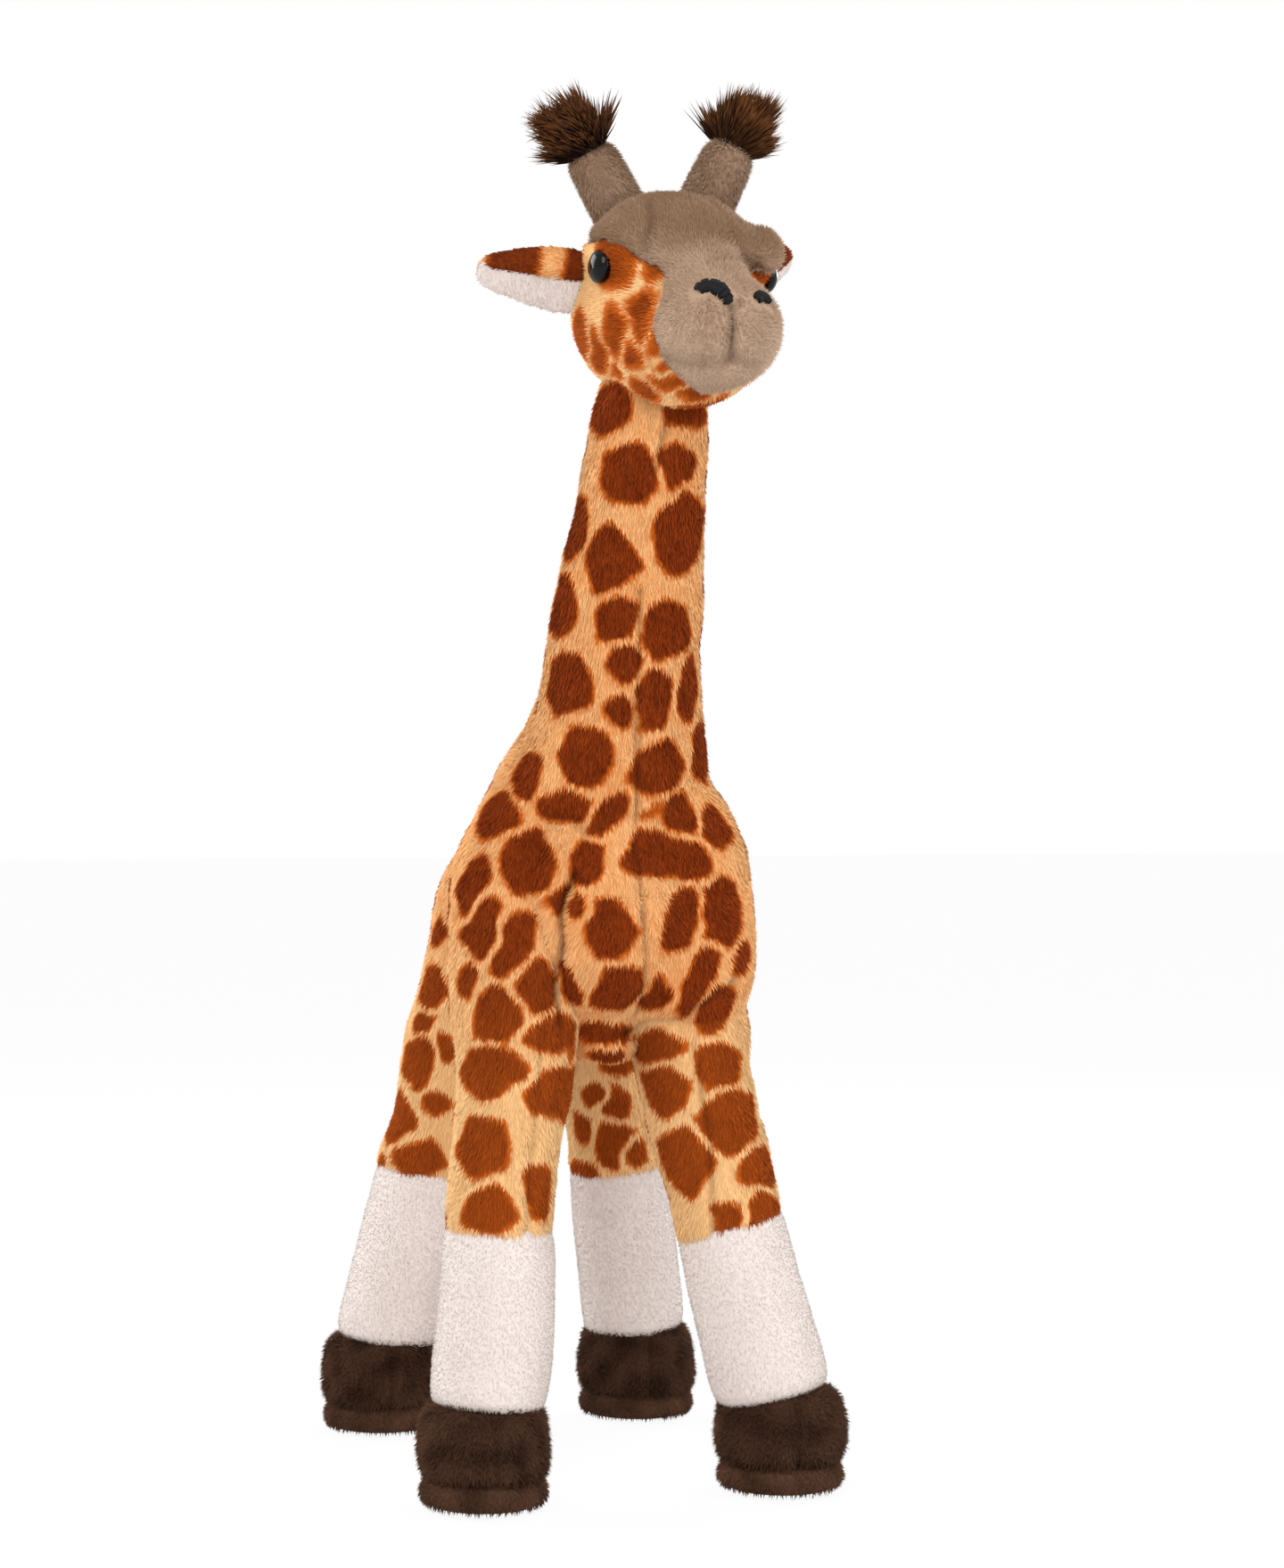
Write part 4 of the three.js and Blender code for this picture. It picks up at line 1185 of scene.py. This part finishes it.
# Socks, hooves and soles: height and half widths of each ring
hoof = {
    "rings": [
        (42, 17, 18), (41, 22.4, 23.8), (37.5, 25.2, 26.8), (32, 26.4, 28), (25, 26.9, 28.4),
        (18, 26.8, 28.3), (14.5, 26, 27.4), (12, 24.4, 25.8), (10, 20.4, 21.4),
    ],
    "inset": 2.2,
    "toeSeam": (38, 32, 26, 20, 14),
}
sole = {
    "rings": [
        (14.4, 17, 18), (13, 22.6, 24), (10, 25.4, 27), (6.5, 26.1, 27.7), (3, 25.2, 26.8), (0.8, 21, 22.5),
    ],
    "inset": 1.2,
    "bare": 3,
}
for number, (name, leg) in enumerate(legs.items()):
    side, back = leg["hoof"]
    seed = 241 + number * 9
    body = name + "_leg"
    hoofForm, soleForm = (
        ([(side, back, *row) for row in part["rings"]], part["inset"]) for part in (hoof, sole)
    )
    sockSkin = drawnSkin(name + "_sock_skin", legForm(name, "sock"), voxel=2.2, smooth=3)
    stuffed(sockSkin, seed, 0.3)
    hoofSkin = drawnSkin(name + "_hoof_skin", hoofForm, voxel=2.0, smooth=3)
    stuffed(hoofSkin, seed + 1, 0.5)
    hoofTree = treeOf(hoofSkin)
    starts = [place(side - 1, back - 80, height) for height in hoof["toeSeam"]]
    pressSeam(hoofSkin, [hoofTree.ray_cast(start, Vector((0, 1, 0)))[0] for start in starts], 2.2, 1.8, 0.5)
    soleSkin = drawnSkin(name + "_sole_skin", soleForm, smooth=2)
    sockTree, hoofTree = treeOf(sockSkin), treeOf(hoofSkin)
    dress(
        sockSkin, "white_plush", "sock", (0, 0, -1), [name + "_sock"], seed + 2,
        body=body, hiders=[hoofTree, legTrees[name]],
    )
    dress(
        hoofSkin, "hoof_plush", "hoof", (0, 0, -1), [name + "_hoof_cover", name + "_hoof_pellets"], seed + 3,
        body=body, hiders=[sockTree], pale=0.2 * clippedLumps(pointsOf(hoofSkin), 13, seed + 6),
    )
    points = pointsOf(soleSkin)
    dress(
        soleSkin, "hoof_plush", "hoof", (0, 0, -1), [name + "_sole"], seed + 4, body=body, hiders=[hoofTree],
        thin=points[:, 2] > sole["bare"] * mm, tall=0.7, pale=0.26 + 0.2 * clippedLumps(points, 13, seed + 7),
    )

# Nostrils: satin stitches laid side by side across an arch
nostril = {
    "arches": {
        "right": closeUp((988, 934), (1006, 918), (1030, 912), (1058, 920), (1082, 942), (1104, 974)),
        "left": closeUp((1210, 968), (1216, 957), (1228, 953), (1240, 963), (1250, 980)),
    },
    "stitches": {"right": 6.8, "left": 4.6},
    "thread": 0.52,
    "count": 48,
    "proud": 2.6,
    "clear": 4.2,
}
nostrilPaths = {name: onCloth(trees["head"], pixels) for name, pixels in nostril["arches"].items()}

# Head and face
points = pointsOf(headSkin)
clear = faceField(points) < 0.6
for hit, _ in eyePlaces.values():
    clear = clear & (lengths(points - np.array(hit)) > eye["clear"] * mm)
muzzleTip = headPoint(0, -62, -6)
dress(
    headSkin, "print_plush", "print", outFrom(*muzzleTip), ["head_cover", "head_stuffing"], 301, body="head",
    hiders=[trees["neck"]], thin=clear, tall=0.85, spots=spots["head"],
    pale=0.7 + 0.3 * clippedLumps(points, 20, 333),
)
points = pointsOf(faceSkin)
outer = depthIn(points, headTree) < 0
for path in nostrilPaths.values():
    outer = outer & (nearPath(points, path) > nostril["clear"] * mm)
there = inHead(points)
pale = 0
for (share, low, high), along in zip(face["pale"].values(), (-there[:, 2], -there[:, 1], there[:, 2])):
    pale = pale + share * smoothStep(along, low, high)
dress(
    faceSkin, "taupe_plush", "taupe", outFrom(*muzzleTip), ["face_cover"], 305,
    body="head", thin=outer, pale=pale,
)

for name in ("left", "right"):
    start, way, _, _ = earFrame(name)
    at = (pointsOf(earBacks[name]) - np.array(place(*start))) @ np.array(way) / mm
    band, tipAt = ear["band"], ear["lengths"][name] * ear["tipShare"]
    within = np.minimum(np.abs(at - band["at"]) - band["half"], tipAt - at)
    bands = np.clip(0.5 + band["edge"] * within, 0, 1)
    # The bands also get a crease value, which shortens their pile and mixes the painted crease shade into
    # their print
    give(earBacks[name], "crease", bands * band["shadeMark"])
    dress(
        earBacks[name], "print_plush", "print", tuple(way), [name + "_ear_back"], 311 + len(name),
        body=name + "_ear", tall=0.7, spots=bands,
    )
    # The lining is painted a little darker than the socks: a painted shade
    dress(
        earLinings[name], "white_plush", "sock", tuple(way), [name + "_ear_lining"], 321 + len(name),
        body=name + "_ear", pale=-0.3,
    )


# Hard and stitched pieces of the head
def finishHard(form, name, finish, node):
    obj = objectOf(form, name)
    obj.data.materials.append(materials[finish])
    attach(obj, "head")
    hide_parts(node)


for name, (hit, way) in eyePlaces.items():
    form = bmesh.new()
    centre = Matrix.Translation(hit - way * (eye["socketDepth"] + eye["sunk"]) * mm)
    addBall(form, 48, 32, eye["radius"] * mm, centre @ towards(way) @ Matrix.Diagonal((1, 1, eye["rise"], 1)))
    finishHard(form, name + "_eye_dome", "eye_plastic", name + "_eye")
    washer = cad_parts[name + "_eye_washer"].data.materials
    washer.clear()
    washer.append(materials["washer_plastic"])


def stitchArch(name, path):
    form = bmesh.new()
    draw = np.random.default_rng(401)
    count, thread = nostril["count"], nostril["thread"]
    reached = [0]
    for a, b in zip(path[:-1], path[1:]):
        reached.append(reached[-1] + (b - a).length)
    for i in range(count):
        share = (i + 0.5) / count
        along = reached[-1] * (i + 0.5) / count
        j = max(k for k in range(len(reached) - 1) if reached[k] <= along)
        at = path[j].lerp(path[j + 1], (along - reached[j]) / (reached[j + 1] - reached[j]))
        tangent = (path[j + 1] - path[j]).normalized()
        normal = trees["head"].find_nearest(at)[1]
        across = tangent.cross(normal).normalized()
        half = nostril["stitches"][name] / 2 * mm * draw.uniform(0.85, 1.1)
        half *= math.sin(math.pi * (0.12 + 0.76 * share)) ** 0.5
        rows = []
        for over, rise, thin in ((-1, -0.6, 0.5), (-0.8, 0.6, 1), (0, 1, 1), (0.8, 0.6, 1), (1, -0.6, 0.5)):
            p = (at + across * half * over + normal * nostril["proud"] * mm * rise - middleShift) / mm
            rows.append((*p, thread * thin, thread * thin))
        drawOut(form, rows, 0, 6, tangent)
    finishHard(form, name + "_nostril_stitches", "black_thread", name + "_nostril")


for name, path in nostrilPaths.items():
    stitchArch(name, path)

# Ossicones and their tufts
ossicone = {
    "right": {"base": (-3.5, -106, 498), "top": (-23, -105, 531), "sweep": (-0.95, -0.1, 0.35)},
    "left": {"base": (19, -106, 499), "top": (36.5, -105, 535), "sweep": (0.5, -0.1, 0.75)},
    "radius": 12.5,
    "widths": ((0, 1.05), (0.3, 1.02), (0.7, 0.97), (0.93, 0.95), (1, 0.8), (1.03, 0.4)),
    "inset": 2.0,
    "tuft": {"radius": 7.6, "height": 4.5, "stretch": 1.35},
}
for number, name in enumerate(("left", "right")):
    base, top = Vector(ossicone[name]["base"]), Vector(ossicone[name]["top"])
    way = (top - base).normalized()
    rows = []
    for share, width in ossicone["widths"]:
        rows.append((*base.lerp(top, share), ossicone["radius"] * width, ossicone["radius"] * width))
    stalk = drawnSkin(name + "_ossicone_skin", (rows, ossicone["inset"], 20), voxel=1.6, smooth=3)
    stuffed(stalk, 411 + number, 0.35)
    form = bmesh.new()
    radius = ossicone["tuft"]["radius"] * mm
    scale = Matrix.Diagonal((radius, radius, radius * ossicone["tuft"]["stretch"], 1))
    centre = Matrix.Translation(place(*(top + way * ossicone["tuft"]["height"])))
    addBall(form, 24, 16, 1, centre @ towards(way) @ scale)
    crown = rounded(form, name + "_tuft_pile", voxel=1.6, smooth=2, level=0)
    points = pointsOf(crown)
    above = (points - np.array(place(*top))) @ np.array(way) / mm
    dress(
        stalk, "taupe_plush", "taupe", tuple(-way), [name + "_ossicone"], 421 + number,
        body="head", hiders=[trees["head"], treeOf(crown)], pale=-0.18,
    )
    dress(
        crown, "tuft_pile", "tuft", ossicone[name]["sweep"], [name + "_ossicone_tuft"], 431 + number,
        body="head", thin=above > -0.5, pale=-0.12,
        tall=1 + 0.4 * clippedLumps(points, 7, 437 + number),
    )

# Mane along the back of the neck
mane = {
    "wide": 5, "deep": 4, "from": 262, "to": 440, "sunk": 3,
    "end": 1.5, "endSunk": 3, "below": -6, "above": 5,
}
rows = []
for side, back, height, _, deep in neck["rings"]:
    if mane["from"] <= height <= mane["to"]:
        rows.append((side, back + deep - mane["sunk"], height, mane["wide"], mane["deep"]))
ends = []
for (side, back, height, _, _), over in ((rows[0], mane["below"]), (rows[-1], mane["above"])):
    ends.append((side, back - mane["endSunk"], height + over, mane["end"], mane["end"]))
maneSkin = drawnSkin("mane_pile", ([ends[0], *rows, ends[1]], 0, 12), smooth=2, level=1)
backFacing = normalsOf(maneSkin)[:, 1] > -0.2
dress(maneSkin, "tuft_pile", "mane", (0, 0.6, 0.5), ["mane"], 441, bend=neckBend, thin=backFacing)

# Tail and its tuft: side, back, height and radius of each ring
tail = {
    "rings": [
        (7, 98, 250, 5), (7, 105, 249, 6.4), (7, 113, 240, 5.8), (7, 120, 224, 5.4), (7, 127, 205, 5.3),
        (7, 133, 187, 5.3), (7, 136, 176, 4),
    ],
    "tuft": [
        (7, 135, 180, 3), (7, 136.5, 174, 5.5), (7, 138, 164, 7), (7, 140, 152, 5.5), (7, 141, 144, 2),
    ],
    "inset": 1.6,
    "spacing": 15,
}
tailForm, tuftForm = ([(*row, row[3]) for row in tail[key]] for key in ("rings", "tuft"))
tailSkin = drawnSkin("tail_skin", (tailForm, tail["inset"], 14), voxel=1.5, smooth=3, level=1)
points = pointsOf(tailSkin)
tailPrint = softEdge(unseenPatches(points, scatterSeeds(points, 461, tail["spacing"])))
dress(
    tailSkin, "print_plush", "print", (0, 0.2, -1), ["tail"], 451,
    body="tail", hiders=[trees["body"]], tall=0.7, spots=tailPrint,
)
tailTuft = drawnSkin("tail_tuft_pile", (tuftForm, 0, 14), voxel=1.5, smooth=2, level=1)
dress(tailTuft, "tuft_pile", "tuft", (0, 0.1, -1.6), ["tail_tuft"], 455, body="tail")
for strand in strands.values():
    bpy.data.objects.remove(strand)

# Floor, world and soft lamps
studio = {"floorSize": 12, "floorWhite": 0.9, "floorGlow": 0.93, "skyLight": 0.72, "lampsLookAt": (0, 0, 0.3)}
form = bmesh.new()
bmesh.ops.create_grid(form, x_segments=1, y_segments=1, size=studio["floorSize"])
floor = objectOf(form, "floor")
sheet = Sheet("floor_white")
sheet.set(Base_Color=(*(studio["floorWhite"],) * 3, 1), Roughness=0.9)
looking = sheet.node("ShaderNodeLightPath", {}, {}, "Is Camera Ray")
glow = sheet.node("ShaderNodeEmission", {}, {"Color": (1, 1, 1, 1), "Strength": 1.0})
share = (looking + looking.output("Is Glossy Ray")).clamp() * studio["floorGlow"]
both = sheet.node("ShaderNodeMixShader", {}, {0: share, 1: Sock(sheet, sheet.shader.outputs[0]), 2: glow})
sheet.plug(sheet.nodes["Material Output"].inputs["Surface"], both)
floor.data.materials.append(sheet.material)

lamps = {
    "key": {"from": (-0.9, -1.5, 1.5), "size": 1.2, "power": 22},
    "fill": {"from": (1.3, -1.2, 0.8), "size": 1.2, "power": 10},
    "rimLeft": {"from": (1.2, 0.9, 1.1), "size": 1.0, "power": 15},
    "rimRight": {"from": (-1.2, 1.0, 1.0), "size": 1.0, "power": 15},
}
for name, lamp in lamps.items():
    data = bpy.data.lights.new(name, "AREA")
    data.shape = "SQUARE"
    data.size = lamp["size"]
    data.energy = lamp["power"]
    made = bpy.data.objects.new(name, data)
    made.location = lamp["from"]
    made.rotation_euler = (Vector(studio["lampsLookAt"]) - made.location).to_track_quat("-Z", "Y").to_euler()
    scene.collection.objects.link(made)

scene.world = bpy.data.worlds.new("studio")
scene.world.use_nodes = True
skyGraph = Graph(scene.world.node_tree)
sky = skyGraph.nodes["Background"].inputs
sky["Color"].default_value = (1, 1, 1, 1)
looking = skyGraph.node("ShaderNodeLightPath", {}, {}, "Is Camera Ray")
strengths = {"Value": looking, "To Min": studio["skyLight"], "To Max": 1.0}
strength = skyGraph.node("ShaderNodeMapRange", {}, strengths)
skyGraph.plug(sky["Strength"], strength)

scene.view_settings.view_transform = "Standard"
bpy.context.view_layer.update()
most = max(triangleCounts, key=triangleCounts.get)
print("triangles", sum(triangleCounts.values()), "the most:", most, triangleCounts[most])
